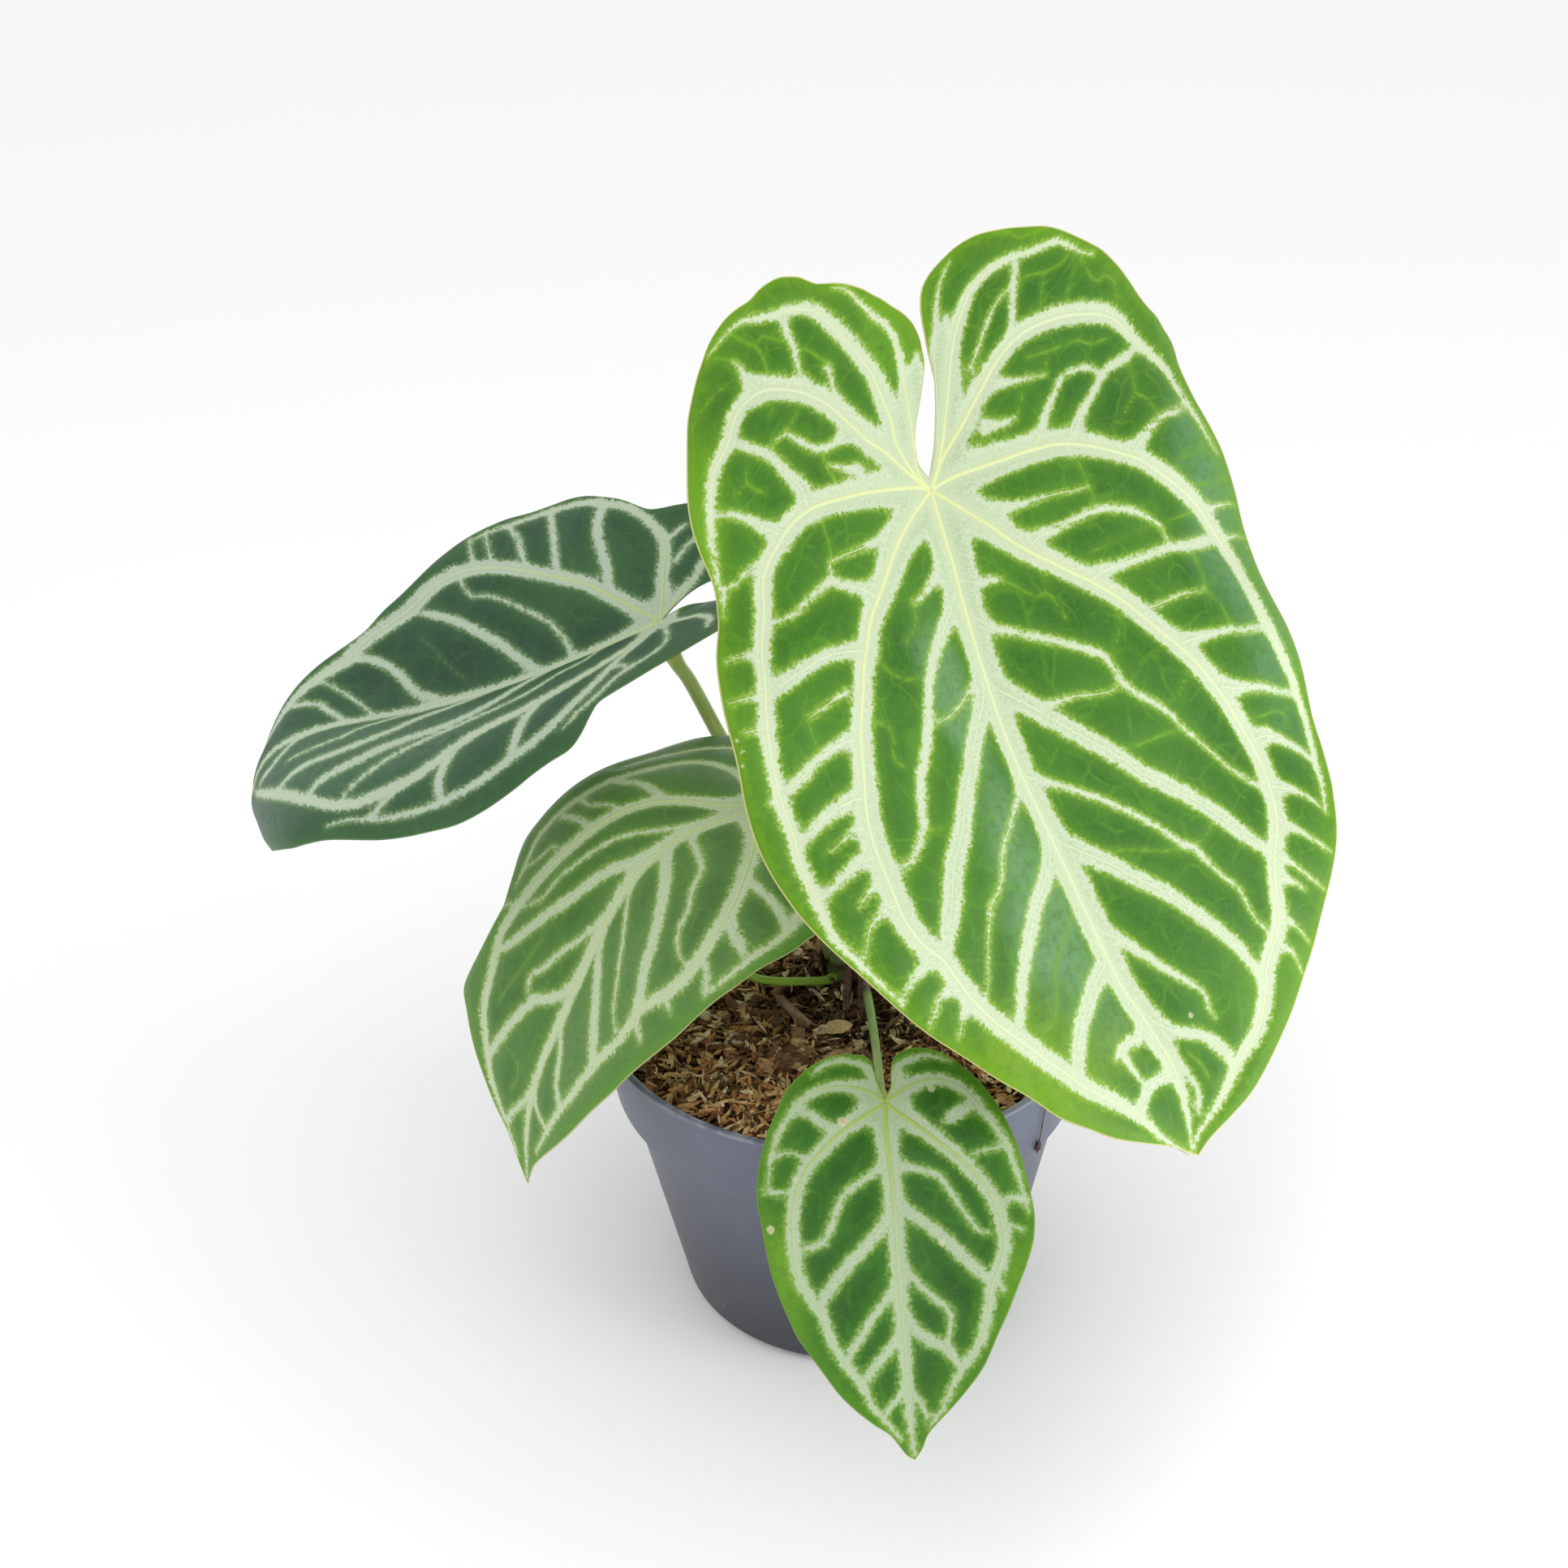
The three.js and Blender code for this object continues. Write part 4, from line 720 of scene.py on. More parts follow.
# A way that lies across every root, for its rings to turn by, then each root's line and its
# radius.
ROOT_SIDE = (0.3, 0.9, 0.2)
ROOTS = [([(1, 7.5, 86), (1, 3.5, 85.4), (0.6, -2, 83), (0, -7.5, 78)], 1.2),
         ([(4.2, 8, 86.5), (4.4, 3, 85.8), (4.1, -2.5, 83.2), (3.6, -7.5, 78)], 1.25),
         ([(4.5, 9, 83), (7.5, 6.5, 82), (9.6, 4, 80), (10.5, 2, 78)], 0.8)]
roots = make_piece("aerial_roots", *joined([root(*row) for row in ROOTS]), "stem")
root_finish, shader, start = finish_of("brown root", {"Roughness": 0.75})
skin = noise(start, solid_place(start), 700, 4, 0.65)
feed(skin.step(0.3, 0.7).mix(srgb(54, 36, 30), srgb(108, 76, 62)), shader, "Base Color")
bump(start, skin, 0.0004, 0.7, shader)
roots.data.materials.append(root_finish)

# The thread of root that hangs over the rim: its turn, its distance out and its height.
THREAD_TURN = np.radians(np.linspace(-41, -39, 9))
THREAD_OUT = np.array([56.5, 58.8, 60.3, 60.9, 60, 59.2, 58.5, 57.7, 57.4])
THREAD_HEIGHT = np.array([81, 84.4, 84.6, 83.3, 79, 73.5, 68.5, 64.5, 62.5])
route = spun(THREAD_OUT, THREAD_TURN, THREAD_HEIGHT)
points, faces, _ = tube(route, tail, 0, 120, 14, ROOT_SIDE)
thread = make_piece("hanging_root", points, faces, "stem")
thread.data.materials.append(root_finish)


# The petioles: slender round stalks, pale green and finely streaked, with a groove along
# the upper side. Each rises from the stem and swells to a paler knuckle below its blade.
LEAF_NAMES = ("large", "small", "middle", "dark")
STALK_RINGS, STALK_AROUND = 160, 32
STALK_GROOVE = 0.14
PETIOLES = {
    "large": ([(2, 12, 84), (3, 15.5, 100), (6.5, 24, 129), (8, 25.5, 160), (11, 21.5, 187), (16, 13, 204),
               (19.1, 8.2, 210.9), (20.5, 6.7, 212.8)], 2.8, 2.0, 0.22),
    "dark": ([(-2, 13, 85), (-9.5, 22.5, 98), (-21, 37.5, 114), (-30.8, 50, 127.8), (-37, 50.8, 141.8),
              (-40, 48.8, 148.6), (-43, 48.4, 156.5), (-44, 48.8, 159.8)], 2.1, 1.7, 0.32),
    "middle": ([(-2, 7.2, 82.4), (-7, 5.2, 82.8), (-21.4, 2.4, 86), (-29.5, 1.5, 95), (-32, 4.5, 110),
                (-28, 8, 124), (-20.9, 6.7, 131), (-18.9, 5.3, 133.2)], 1.05, 1.05, 0.2),
    "small": ([(4.8, 7, 82), (5.8, -6.5, 85.6), (6.6, -25, 91.5), (7.2, -46, 98.6), (7.6, -63, 104),
               (8.2, -72.2, 107.2), (8.3, -74.4, 108.6)], 1.15, 0.95, 0.2),
}
PETIOLE_COLOURS = {
    "large": ((112, 138, 58), (150, 170, 88), (170, 184, 90), (126, 104, 62)),
    "dark": ((138, 158, 84), (174, 190, 116), (178, 192, 88), (126, 124, 62)),
    "middle": ((124, 166, 50), (166, 202, 80), (176, 198, 84), (146, 180, 70)),
    "small": ((122, 156, 74), (160, 184, 104), (176, 200, 66), (92, 66, 46)),
}


def knuckle(foot, head, swell):
    """The stalk's radius: foot to head in a straight taper, wider at the very foot, with a
    bell-shaped swelling close under the blade."""
    return lambda s: (foot + (head - foot) * s) * (1 + 0.3 * np.exp(-(s / 0.03) ** 2)
                                                   + swell * np.exp(-((s - 0.93) / 0.045) ** 2))


for name in LEAF_NAMES:
    route, foot, head, swell = PETIOLES[name]
    points, faces, angle = tube(route, knuckle(foot, head, swell), STALK_GROOVE, STALK_RINGS, STALK_AROUND,
                                (0.25, -0.9, 0.35))
    stalk = make_piece(f"petiole_stalk_{name}", points, faces, "petiole")
    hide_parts(f"petiole_{name}")
    paint(stalk, "along", np.repeat(np.linspace(0, 1, STALK_RINGS), STALK_AROUND))
    paint(stalk, "turn_x", np.cos(angle))
    paint(stalk, "turn_y", np.sin(angle))
    dark_green, pale_green, knuckle_green, foot_brown = (srgb(*colour) for colour in PETIOLE_COLOURS[name])
    material, shader, start = finish_of(f"petiole {name}", {"Roughness": 0.45, "Specular IOR Level": 0.25})
    along, turn_x, turn_y = (attribute(start, key) for key in ("along", "turn_x", "turn_y"))
    rolled = start.node("ShaderNodeCombineXYZ", None, {0: turn_x * 2.2, 1: turn_y * 2.2, 2: along * 4})
    streak = noise(start, rolled, 2.4, 4, 0.6)
    spots = noise(start, solid_place(start), 1500, 2, 0.6)
    base = streak.step(0.36, 0.64).mix(dark_green, pale_green)
    grooved = (turn_y.step(0.86, 0.98) * 0.5).mix(base, pale_green)
    tipped = (along.step(0.86, 0.95) * 0.75).mix(grooved, knuckle_green)
    footed = (along.step(0.17, 0.1) * 0.8).mix(tipped, foot_brown)
    feed((spots.step(0.62, 0.72) * 0.25).mix(footed, srgb(196, 206, 132)), shader, "Base Color")
    bump(start, streak + spots * 0.3, 0.0002, 0.35, shader)
    stalk.data.materials.append(material)


# The blades: four heart-shaped leaves, each one sheet that hangs from its petiole at the
# notch between two round lobes. The midrib and six or seven curved main veins fan out
# from that joint, each in a broad silver band, and finer veins run between them.
STATIONS = np.array([-0.4, 0, 0.3, 0.6, 0.8, 1.0])
# How softly the two halves meet at the midrib, the small step that finds a slope, both as a
# share of the leaf, and in millimetres what counts as far from every vein, half a blade's
# thickness at the margin and what it gains further in.
CREASE = 0.04
SMALL = 0.004
FAR = 50.0
MARGIN_HALF_THICK = 0.14
EXTRA_HALF_THICK = 0.2

# Flat places on a leaf are numbers two by two: across in thousandths of its half width,
# positive on its left half, then along in thousandths of its length from the joint to the
# tip. A vein is its kind, the half widths of its silver in millimetres from start to end,
# and its places. The kinds are m main, s side, w silver alone and y a thin yellow thread.
LEAVES = {}
LEAVES["large"] = dict(
    length=155.5, width=62, joint=(20.6, 6.6, 213), pitch=[-52, -44, -50, -54, -56, -58], heading=-54.7,
    roll=[0] * 6, bend=[0.54, 0, -0.13, -0.08, -0.03, 0],
    fold={1: [6, 8, 10, 10, 9, 6], -1: [14, 18, 20, 18, 14, 10]},
    curl={1: [-14, -14, -18, -20, -20, -20], -1: [-20, -22, -24, -26, -26, -26]}, ripple=1.3, waves=3.1,
    phase=0.15, rows=(84, 196), columns=62, hub=19, spread=2.0, relief=0.55)
LEAVES["large"]["outline"] = {
    1: [0,-17, 18,-37, 35,-58, 45,-84, 50,-110, 51,-131, 45,-153, 29,-174, 8,-200, -8,-221, -25,-240,
        -40,-262, -42,-280, -30,-294, 2,-309, 56,-324, 110,-335, 185,-342, 260,-342, 346,-339, 422,-334,
        508,-328, 583,-317, 658,-302, 723,-288, 798,-271, 862,-251, 916,-232, 970,-211, 1024,-189,
        1078,-170, 1131,-153, 1174,-131, 1207,-112, 1220,-93, 1223,-71, 1233,-41, 1247,-7, 1266,19, 1298,53,
        1336,89, 1373,140, 1378,180, 1366,230, 1344,275, 1336,317, 1349,370, 1361,418, 1358,460, 1340,500,
        1310,547, 1240,600, 1208,618, 1115,672, 1020,716, 903,763, 800,804, 700,838, 597,872, 504,899,
        393,929, 291,953, 173,971, 71,985, 0,1000],
    -1: [0,-17, -37,-36, -52,-55, -50,-78, -39,-100, -23,-119, -9,-142, 0,-165, -1,-184, -14,-199, -33,-218,
        -75,-240, -132,-257, -189,-269, -246,-282, -294,-291, -341,-301, -398,-310, -455,-317, -512,-321,
        -559,-323, -597,-329, -645,-338, -683,-342, -735,-345, -777,-342, -815,-336, -853,-324, -900,-318,
        -943,-308, -977,-293, -998,-278, -1013,-259, -1029,-237, -1043,-210, -1055,-184, -1059,-161,
        -1061,-134, -1063,-108, -1064,-85, -1062,-62, -1053,-36, -1038,-13, -1024,6, -1010,23, -998,43,
        -996,62, -1003,80, -1015,100, -1060,140, -1090,180, -1110,220, -1120,280, -1130,330, -1130,390,
        -1120,440, -1100,490, -1050,545, -930,631, -845,685, -760,730, -675,777, -590,817, -506,861,
        -404,895, -320,922, -200,949, -100,970, -34,990, 0,1000],
}
LEAVES["large"]["veins"] = [
    ("w", (3.0, 4.2, 3.6, 1.6), [30,-30, 75,-90, 85,-140, 75,-190, 80,-235]),
    ("w", (3.0, 4.6, 4.6, 2.2), [-30,-30, -70,-90, -60,-140, -45,-190]),
    ("m", (4.6, 4.6, 4.2, 4.1, 3.7, 3.4, 3.7, 4.2, 4.2, 3.5, 3.4, 1.6, 0.6), [0,0, 16,100, 11,160, 1,250,
        -10,330, -20,400, -28,500, -32,600, -33,700, -28,740, -4,782, 18,825, 33,860, 36,900, 22,937, 5,963,
        -17,989]),
    ("m", (2.4, 2.2, 2.0, 2.0, 2.2, 1.5, 1.1, 1.0, 0.65, 0.25), [0,0, 45,-30, 78,-71, 99,-110, 110,-144,
        115,-178, 131,-213, 153,-238, 185,-264, 239,-281, 300,-290, 360,-294, 432,-295, 508,-298, 572,-300,
        615,-294, 669,-281, 712,-272, 766,-266]),
    ("s", (1.4, 1.2, 1.0, 0.7, 0.3), [50,-60, 57,-100, 55,-140, 43,-178, 40,-221, 34,-262, 50,-294,
        78,-313]),
    ("m", (2.6, 2.4, 2.3, 2.4, 2.5, 2.6, 2.4, 1.8, 1.5, 1.0, 0.8, 0.35), [0,0, 60,-36, 150,-71, 207,-97,
        250,-118, 293,-140, 336,-157, 389,-172, 443,-181, 508,-186, 637,-188, 766,-181, 830,-175, 884,-166,
        938,-151, 981,-134, 1018,-118, 1056,-106, 1099,-90, 1142,-71, 1164,-50, 1185,-24, 1201,-3, 1228,23,
        1282,70, 1303,83]),
    ("m", (2.8, 3.0, 3.3, 3.1, 2.6, 2.3, 2.5, 2.6, 1.9, 2.0, 1.7, 1.3, 1.4, 0.6), [0,0, 100,-7, 293,-7,
        400,-7, 508,-5, 572,-1, 637,7, 701,17, 766,29, 884,53, 941,70, 1052,108, 1108,130, 1152,152,
        1186,179, 1208,200, 1225,227, 1236,254, 1236,307, 1241,360, 1269,414, 1286,440, 1291,467, 1290,494,
        1275,521, 1243,550, 1209,573, 1187,594, 1155,616, 1120,637]),
    ("m", (3.0, 2.9, 2.7, 2.7, 2.8, 2.9, 2.8, 2.9, 2.4, 2.3, 2.4, 2.0, 1.5, 0.6), [0,0, 60,22, 129,50,
        196,77, 263,108, 329,134, 396,156, 463,179, 530,200, 585,221, 641,245, 696,276, 741,303, 785,329,
        830,360, 863,391, 897,427, 919,462, 936,494, 941,520, 935,545, 920,570, 899,592, 872,614, 838,633,
        800,650, 763,672, 736,693, 714,714, 693,740, 655,762, 607,779, 553,800, 521,822, 488,843, 445,864,
        392,882, 327,895, 263,912, 198,933, 133,950, 58,967, -6,985]),
    ("s", (1.1, 0.9, 0.9, 1.2), [380,-178, 384,-208, 379,-234, 379,-264, 384,-290]),
    ("s", (0.3, 0.4, 0.6, 0.4, 0.3), [200,-150, 234,-178, 260,-203, 282,-221, 314,-238, 346,-247,
        372,-250]),
    ("y", (), [400,-257, 460,-260, 520,-258, 580,-262, 640,-276]),
    ("y", (), [520,-258, 515,-235, 512,-205]),
    ("y", (), [712,-272, 665,-246, 645,-225, 640,-205]),
    ("y", (), [705,-268, 740,-240, 785,-224, 830,-230, 880,-215, 900,-190]),
    ("y", (), [270,-338, 330,-335, 380,-322, 400,-319, 460,-322, 530,-324]),
    ("s", (1.8, 1.1, 0.6, 0.5, 0.3), [240,-120, 290,-118, 345,-114, 400,-112, 465,-110, 540,-109]),
    ("s", (2.2, 1.2, 1.0, 0.9, 0.8, 0.7, 0.8, 0.9), [460,-10, 497,-33, 529,-54, 572,-76, 604,-93, 658,-102,
        723,-103, 766,-97, 803,-84]),
    ("s", (2.4, 1.6, 1.1, 1.1, 1.3, 1.6), [590,0, 637,-11, 680,-33, 723,-50, 766,-65, 803,-80, 841,-91,
        895,-97, 938,-101, 1000,-112]),
    ("s", (1.0, 0.4, 0.3), [260,-60, 330,-57, 385,-58]),
    ("y", (), [385,-58, 405,-68, 430,-92]),
    ("y", (), [540,-109, 545,-125, 560,-135]),
    ("y", (), [450,-140, 580,-142, 700,-145, 770,-134, 850,-138]),
    ("s", (2.4, 1.4, 1.0, 0.7, 0.9, 1.0), [880,42, 938,29, 981,19, 1024,10, 1067,5, 1120,4, 1196,0]),
    ("y", (), [960,-88, 965,-60, 955,-42, 1000,-30, 1030,-8, 1040,5]),
    ("y", (), [955,-42, 900,-22, 850,-8, 820,0]),
    ("y", (), [1040,95, 1080,80, 1130,70, 1190,70, 1240,60]),
    ("y", (), [1105,110, 1180,118, 1250,122, 1320,118]),
    ("s", (0.9, 0.4, 0.2), [1195,155, 1280,155, 1350,158]),
    ("s", (0.9, 0.4, 0.2), [1220,203, 1300,206, 1355,212]),
    ("s", (0.8, 0.35, 0.25, 0.25), [250,60, 318,65, 400,66, 500,68, 563,71, 635,72]),
    ("y", (), [595,15, 628,45, 640,77, 645,105]),
    ("s", (2.2, 1.0, 0.8, 0.9, 0.9, 0.85, 0.6, 0.5), [330,125, 385,117, 441,116, 496,114, 552,111, 607,108,
        663,108, 719,113, 774,120, 830,130, 874,143, 908,154, 928,168, 930,188]),
    ("y", (), [540,170, 607,161, 696,158, 785,158, 890,156]),
    ("y", (), [930,158, 1050,154, 1110,153]),
    ("s", (2.4, 1.3, 1.1, 1.1, 1.4, 2.0), [530,200, 607,194, 719,194, 830,193, 941,193, 1019,198, 1108,200,
        1200,200]),
    ("s", (0.5, 0.3), [715,266, 770,266, 830,265, 908,264, 970,267, 1020,267]),
    ("y", (), [1036,205, 1040,245, 1020,267, 1050,294, 1058,330]),
    ("s", (2.6, 1.8, 1.1, 0.9, 0.7, 0.8, 1.2), [790,329, 850,329, 941,332, 997,334, 1052,336, 1097,343,
        1164,346, 1235,350]),
    ("s", (2.8, 1.8, 1.1, 0.9, 0.8, 1.2), [890,405, 941,414, 997,420, 1052,425, 1108,431, 1152,440,
        1197,447, 1280,460]),
    ("y", (), [990,465, 1050,468, 1120,469, 1170,480, 1155,494]),
    ("s", (2.8, 2.4, 1.5, 1.1, 1.0, 1.3), [940,495, 1030,498, 1075,507, 1119,520, 1164,536, 1220,562]),
    ("s", (2.8, 1.3, 0.6, 0.5), [925,565, 975,577, 1015,584, 1058,599, 1090,614, 1117,627]),
    ("s", (2.4, 0.9, 0.6, 0.5), [872,618, 929,637, 962,650, 999,667, 1026,680, 1048,689]),
    ("s", (1.8, 0.6, 0.35, 0.4), [790,660, 832,676, 865,693, 897,710, 929,727, 945,736]),
    ("s", (1.6, 0.6, 0.3), [770,690, 800,702, 832,714, 849,723]),
    ("s", (1.0, 0.3, 0.2), [715,750, 747,766, 768,779, 784,796]),
    ("s", (1.0, 0.3, 0.2), [660,785, 690,800, 700,830]),
    ("s", (1.8, 0.9, 0.5, 0.3), [20,135, 96,150, 140,152, 180,157]),
    ("y", (), [180,157, 207,165, 240,179, 274,192, 340,199, 360,215, 374,241]),
    ("y", (), [340,199, 345,180, 352,165]),
    ("s", (2.4, 1.1, 0.8, 0.9, 0.9, 1.0, 0.75, 0.8, 0.8, 0.6, 0.45, 0.45, 0.8, 1.3), [12,180, 85,214,
        140,227, 229,247, 318,267, 407,289, 441,298, 468,309, 482,321, 487,334, 496,352, 524,369, 563,387,
        607,405, 635,422, 658,442, 691,462, 741,494, 763,511, 797,529, 843,550, 900,572]),
    ("y", (), [600,243, 574,276, 520,300]),
    ("s", (0.9, 0.3, 0.25), [190,343, 240,344, 296,345, 363,352, 429,356, 490,352]),
    ("y", (), [429,441, 496,439, 563,441, 640,443]),
    ("y", (), [700,400, 725,385, 770,375]),
    ("s", (3.0, 2.4, 2.2, 2.1, 2.1, 2.1, 2.4), [0,280, 29,298, 96,325, 163,356, 229,387, 296,418, 363,449,
        407,476, 463,498, 518,520, 585,550, 644,582, 692,612, 770,655]),
    ("s", (2.0, 0.9, 0.75, 0.75, 0.7, 0.65, 1.0, 0.5, 0.5, 0.35, 0.8), [-20,418, 40,436, 74,445, 129,462,
        185,480, 250,503, 295,521, 327,536, 370,556, 402,573, 424,588, 467,601, 488,620, 510,642, 537,661,
        569,680, 574,710, 587,732, 628,766]),
    ("y", (), [467,601, 540,594, 600,578]),
    ("y", (), [110,560, 177,564, 263,575, 349,590, 410,596]),
    ("s", (3.0, 2.3, 2.0, 1.8, 1.7, 1.5, 1.8), [-25,505, 5,526, 48,543, 101,564, 155,586, 209,612, 263,633,
        306,654, 349,680, 392,706, 424,727, 456,749, 478,770, 499,796, 512,825]),
    ("s", (2.6, 1.9, 1.2, 1.0, 0.8, 0.5, 0.6), [-30,640, -6,659, 37,676, 80,697, 117,719, 155,740, 198,762,
        236,779, 260,798, 254,815, 262,832]),
    ("s", (2.8, 2.2, 1.4, 1.3, 1.6, 1.9), [-20,765, 37,804, 80,822, 123,834, 166,843, 198,852, 230,869,
        252,886, 265,908]),
    ("s", (0.8,), [20,845, 45,858, 75,885, 90,915, 60,945]),
    ("y", (), [112,864, 144,886, 150,905]),
    ("m", (2.8, 2.8, 2.8, 2.7, 2.5, 2.6, 2.2, 1.8, 1.2, 0.8, 0.6), [0,0, -104,-32, -199,-64, -294,-89,
        -388,-121, -436,-138, -493,-155, -550,-168, -607,-179, -673,-188, -720,-193, -777,-193, -825,-185,
        -863,-172, -882,-157, -896,-138, -915,-123, -943,-108, -962,-93, -972,-70, -977,-47, -979,-25,
        -979,0, -977,40, -967,58, -985,90]),
    ("m", (2.6, 2.6, 2.8, 2.4, 2.0, 1.9, 1.5, 1.2, 0.7, 0.35), [0,0, -56,-21, -104,-47, -151,-78, -165,-104,
        -208,-138, -246,-165, -284,-187, -341,-210, -398,-233, -455,-253, -512,-272, -559,-286, -607,-293,
        -664,-296, -777,-295, -834,-299, -882,-297, -920,-289, -958,-278, -988,-265]),
    ("m", (2.0, 1.8, 1.6, 1.5, 1.1, 0.9, 0.8, 0.4, 0.2), [0,0, -52,-28, -58,-62, -66,-93, -77,-123,
        -94,-146, -108,-168, -123,-187, -142,-206, -165,-225, -194,-237, -227,-248, -265,-256, -294,-265,
        -322,-274, -350,-282, -379,-291, -407,-301, -445,-309, -493,-313]),
    ("y", (), [-305,-266, -312,-255, -322,-242]),
    ("m", (3.0, 3.0, 3.2, 3.0, 2.6, 2.2, 2.1, 1.9, 2.0, 1.7, 1.7, 1.6, 1.2, 1.0, 0.6), [0,0, -56,-8,
        -151,-11, -246,-14, -341,-16, -436,-16, -531,-15, -597,-11, -654,-2, -702,11, -749,28, -792,45,
        -820,67, -836,93, -858,116, -884,137, -905,158, -920,179, -941,203, -962,224, -978,245, -991,270,
        -1000,295, -1004,345, -1004,386, -1014,403, -1021,423, -1025,455, -1033,486, -1037,506, -1030,527,
        -1009,548, -960,590, -900,632]),
    ("m", (3.4, 3.6, 3.4, 2.8, 2.5, 2.7, 3.0, 3.1, 3.2, 2.6, 2.4, 2.5, 2.4, 2.2, 1.5, 0.6), [0,0, -100,26,
        -181,50, -254,76, -317,104, -379,129, -442,154, -504,191, -546,216, -577,241, -618,270, -650,299,
        -671,324, -691,349, -712,370, -733,394, -749,419, -759,444, -765,469, -773,498, -779,520, -776,542,
        -758,568, -728,588, -700,604, -682,629, -662,653, -642,673, -612,697, -582,717, -546,737, -506,761,
        -466,785, -425,806, -375,834, -315,858, -254,882, -204,902, -163,926, -123,954, -93,968, -35,994]),
    ("s", (2.8, 1.8, 1.3, 1.1, 1.1, 1.3), [-585,-14, -602,-36, -626,-51, -664,-66, -702,-85, -735,-98,
        -777,-108, -815,-116, -844,-123, -872,-132, -895,-145]),
    ("s", (2.4, 1.6, 0.9, 0.7, 0.4), [-700,12, -750,2, -787,-8, -825,-19, -863,-28, -910,-36, -975,-40]),
    ("s", (2.2, 0.9, 0.8, 0.7, 0.7, 0.5, 0.3), [-390,-104, -450,-93, -512,-89, -550,-94, -588,-102,
        -626,-113, -654,-122, -683,-121, -711,-116]),
    ("y", (), [-711,-116, -725,-105, -740,-93]),
    ("y", (), [-654,-122, -645,-134, -615,-148]),
    ("y", (), [-505,-88, -498,-62, -474,-50, -469,-33]),
    ("s", (0.8, 0.4, 0.25), [-350,-50, -390,-53, -430,-57, -485,-64]),
    ("y", (), [-830,-85, -834,-70, -868,-59]),
    ("y", (), [-834,-70, -796,-56, -760,-50]),
    ("y", (), [-740,-176, -722,-163, -730,-150]),
    ("s", (0.9, 0.5, 0.4), [-820,40, -872,44, -910,53, -958,58, -985,62]),
    ("s", (3.2, 2.2, 1.2, 0.5, 0.2), [-770,-195, -810,-208, -840,-222, -865,-237, -890,-247]),
    ("y", (), [-890,-247, -930,-254, -978,-260]),
    ("y", (), [-915,-288, -863,-272, -806,-259, -782,-269, -740,-263, -690,-255]),
    ("y", (), [-806,-259, -768,-240, -747,-218]),
    ("y", (), [-1005,-187, -958,-206, -920,-213]),
    ("s", (1.3, 1.0, 0.7, 0.8, 0.6, 0.4, 1.0), [-700,-290, -690,-277, -678,-265, -654,-252, -635,-236,
        -621,-218, -607,-204, -583,-195, -560,-180]),
    ("y", (), [-633,-236, -588,-235, -550,-225, -512,-214, -479,-203]),
    ("s", (0.4, 0.7, 0.5, 0.4, 1.0), [-500,-202, -479,-202, -469,-187, -450,-168, -420,-145]),
    ("s", (2.4, 1.4, 1.0, 0.9, 0.7, 0.5, 0.8), [-385,128, -442,112, -494,104, -535,96, -561,91, -598,95,
        -650,102, -702,112, -754,119, -795,121, -845,120]),
    ("s", (0.7, 0.3, 0.25), [-260,50, -303,53, -360,57, -436,60, -531,64, -550,77, -558,90]),
    ("y", (), [-540,5, -531,36, -531,64]),
    ("s", (2.2, 1.7, 1.5, 1.6, 1.8, 2.2), [-500,192, -546,189, -598,186, -650,184, -702,185, -754,189,
        -806,193, -847,197, -889,201, -935,206]),
    ("s", (0.7, 0.4, 0.4, 0.3), [-650,235, -700,240, -754,245, -822,252]),
    ("y", (), [-822,252, -827,270, -822,292]),
    ("s", (2.2, 1.3, 1.1, 1.3, 1.4), [-665,300, -702,295, -754,297, -806,301, -858,307, -910,318,
        -985,328]),
    ("s", (2.4, 1.7, 1.5, 1.2, 1.0), [-720,370, -754,368, -806,369, -858,374, -910,380, -962,390,
        -1005,400]),
    ("s", (1.2, 0.4, 0.2), [-770,402, -840,410, -905,418]),
    ("s", (2.4, 1.6, 1.1, 0.9, 0.9), [-765,445, -837,446, -889,452, -941,459, -983,465, -1025,474]),
    ("s", (1.8, 0.8, 0.4, 0.2), [-790,478, -830,481, -870,488, -912,498]),
    ("s", (2.0, 1.2, 0.6, 0.5, 0.35, 0.3), [-780,512, -830,512, -868,519, -910,527, -940,544, -972,560]),
    ("s", (2.4, 1.3, 0.7, 0.4), [-730,592, -798,602, -849,613, -879,623, -900,635]),
    ("s", (2.0, 0.8, 0.5, 0.3), [-700,640, -760,645, -783,653, -808,665, -838,678]),
    ("s", (1.6, 0.4, 0.2), [-680,672, -715,685, -735,697, -755,708]),
    ("y", (), [-560,785, -575,800, -590,815]),
    ("s", (1.0, 0.4, 0.2), [-920,152, -985,149, -1040,148]),
    ("s", (1.4, 0.45, 0.25), [-940,203, -1010,202, -1080,200]),
    ("s", (1.4, 0.5, 0.3), [-975,243, -1020,243, -1070,241]),
    ("s", (1.0, 0.3), [-1000,335, -1050,334]),
    ("s", (2.6, 1.8, 1.5, 1.3, 1.4, 1.3, 1.1, 0.8, 0.9), [-5,145, -60,172, -129,195, -181,212, -234,233,
        -286,258, -317,278, -338,295, -369,316, -400,336, -442,357, -473,370, -504,394, -535,419, -556,436,
        -598,452, -650,467, -702,473, -765,477]),
    ("s", (0.9, 0.4, 0.3), [-60,118, -130,133, -200,146, -235,150]),
    ("y", (), [-235,150, -245,170, -280,188, -330,196]),
    ("y", (), [-470,215, -430,235, -385,245, -335,250]),
    ("y", (), [-600,280, -550,290, -520,305, -550,335, -530,350]),
    ("s", (3.0, 2.4, 2.2, 2.2, 2.4, 2.4, 2.6), [-8,270, -46,299, -98,320, -150,340, -202,361, -254,386,
        -306,407, -358,432, -410,457, -462,477, -514,498, -556,522, -597,545, -647,572, -695,600]),
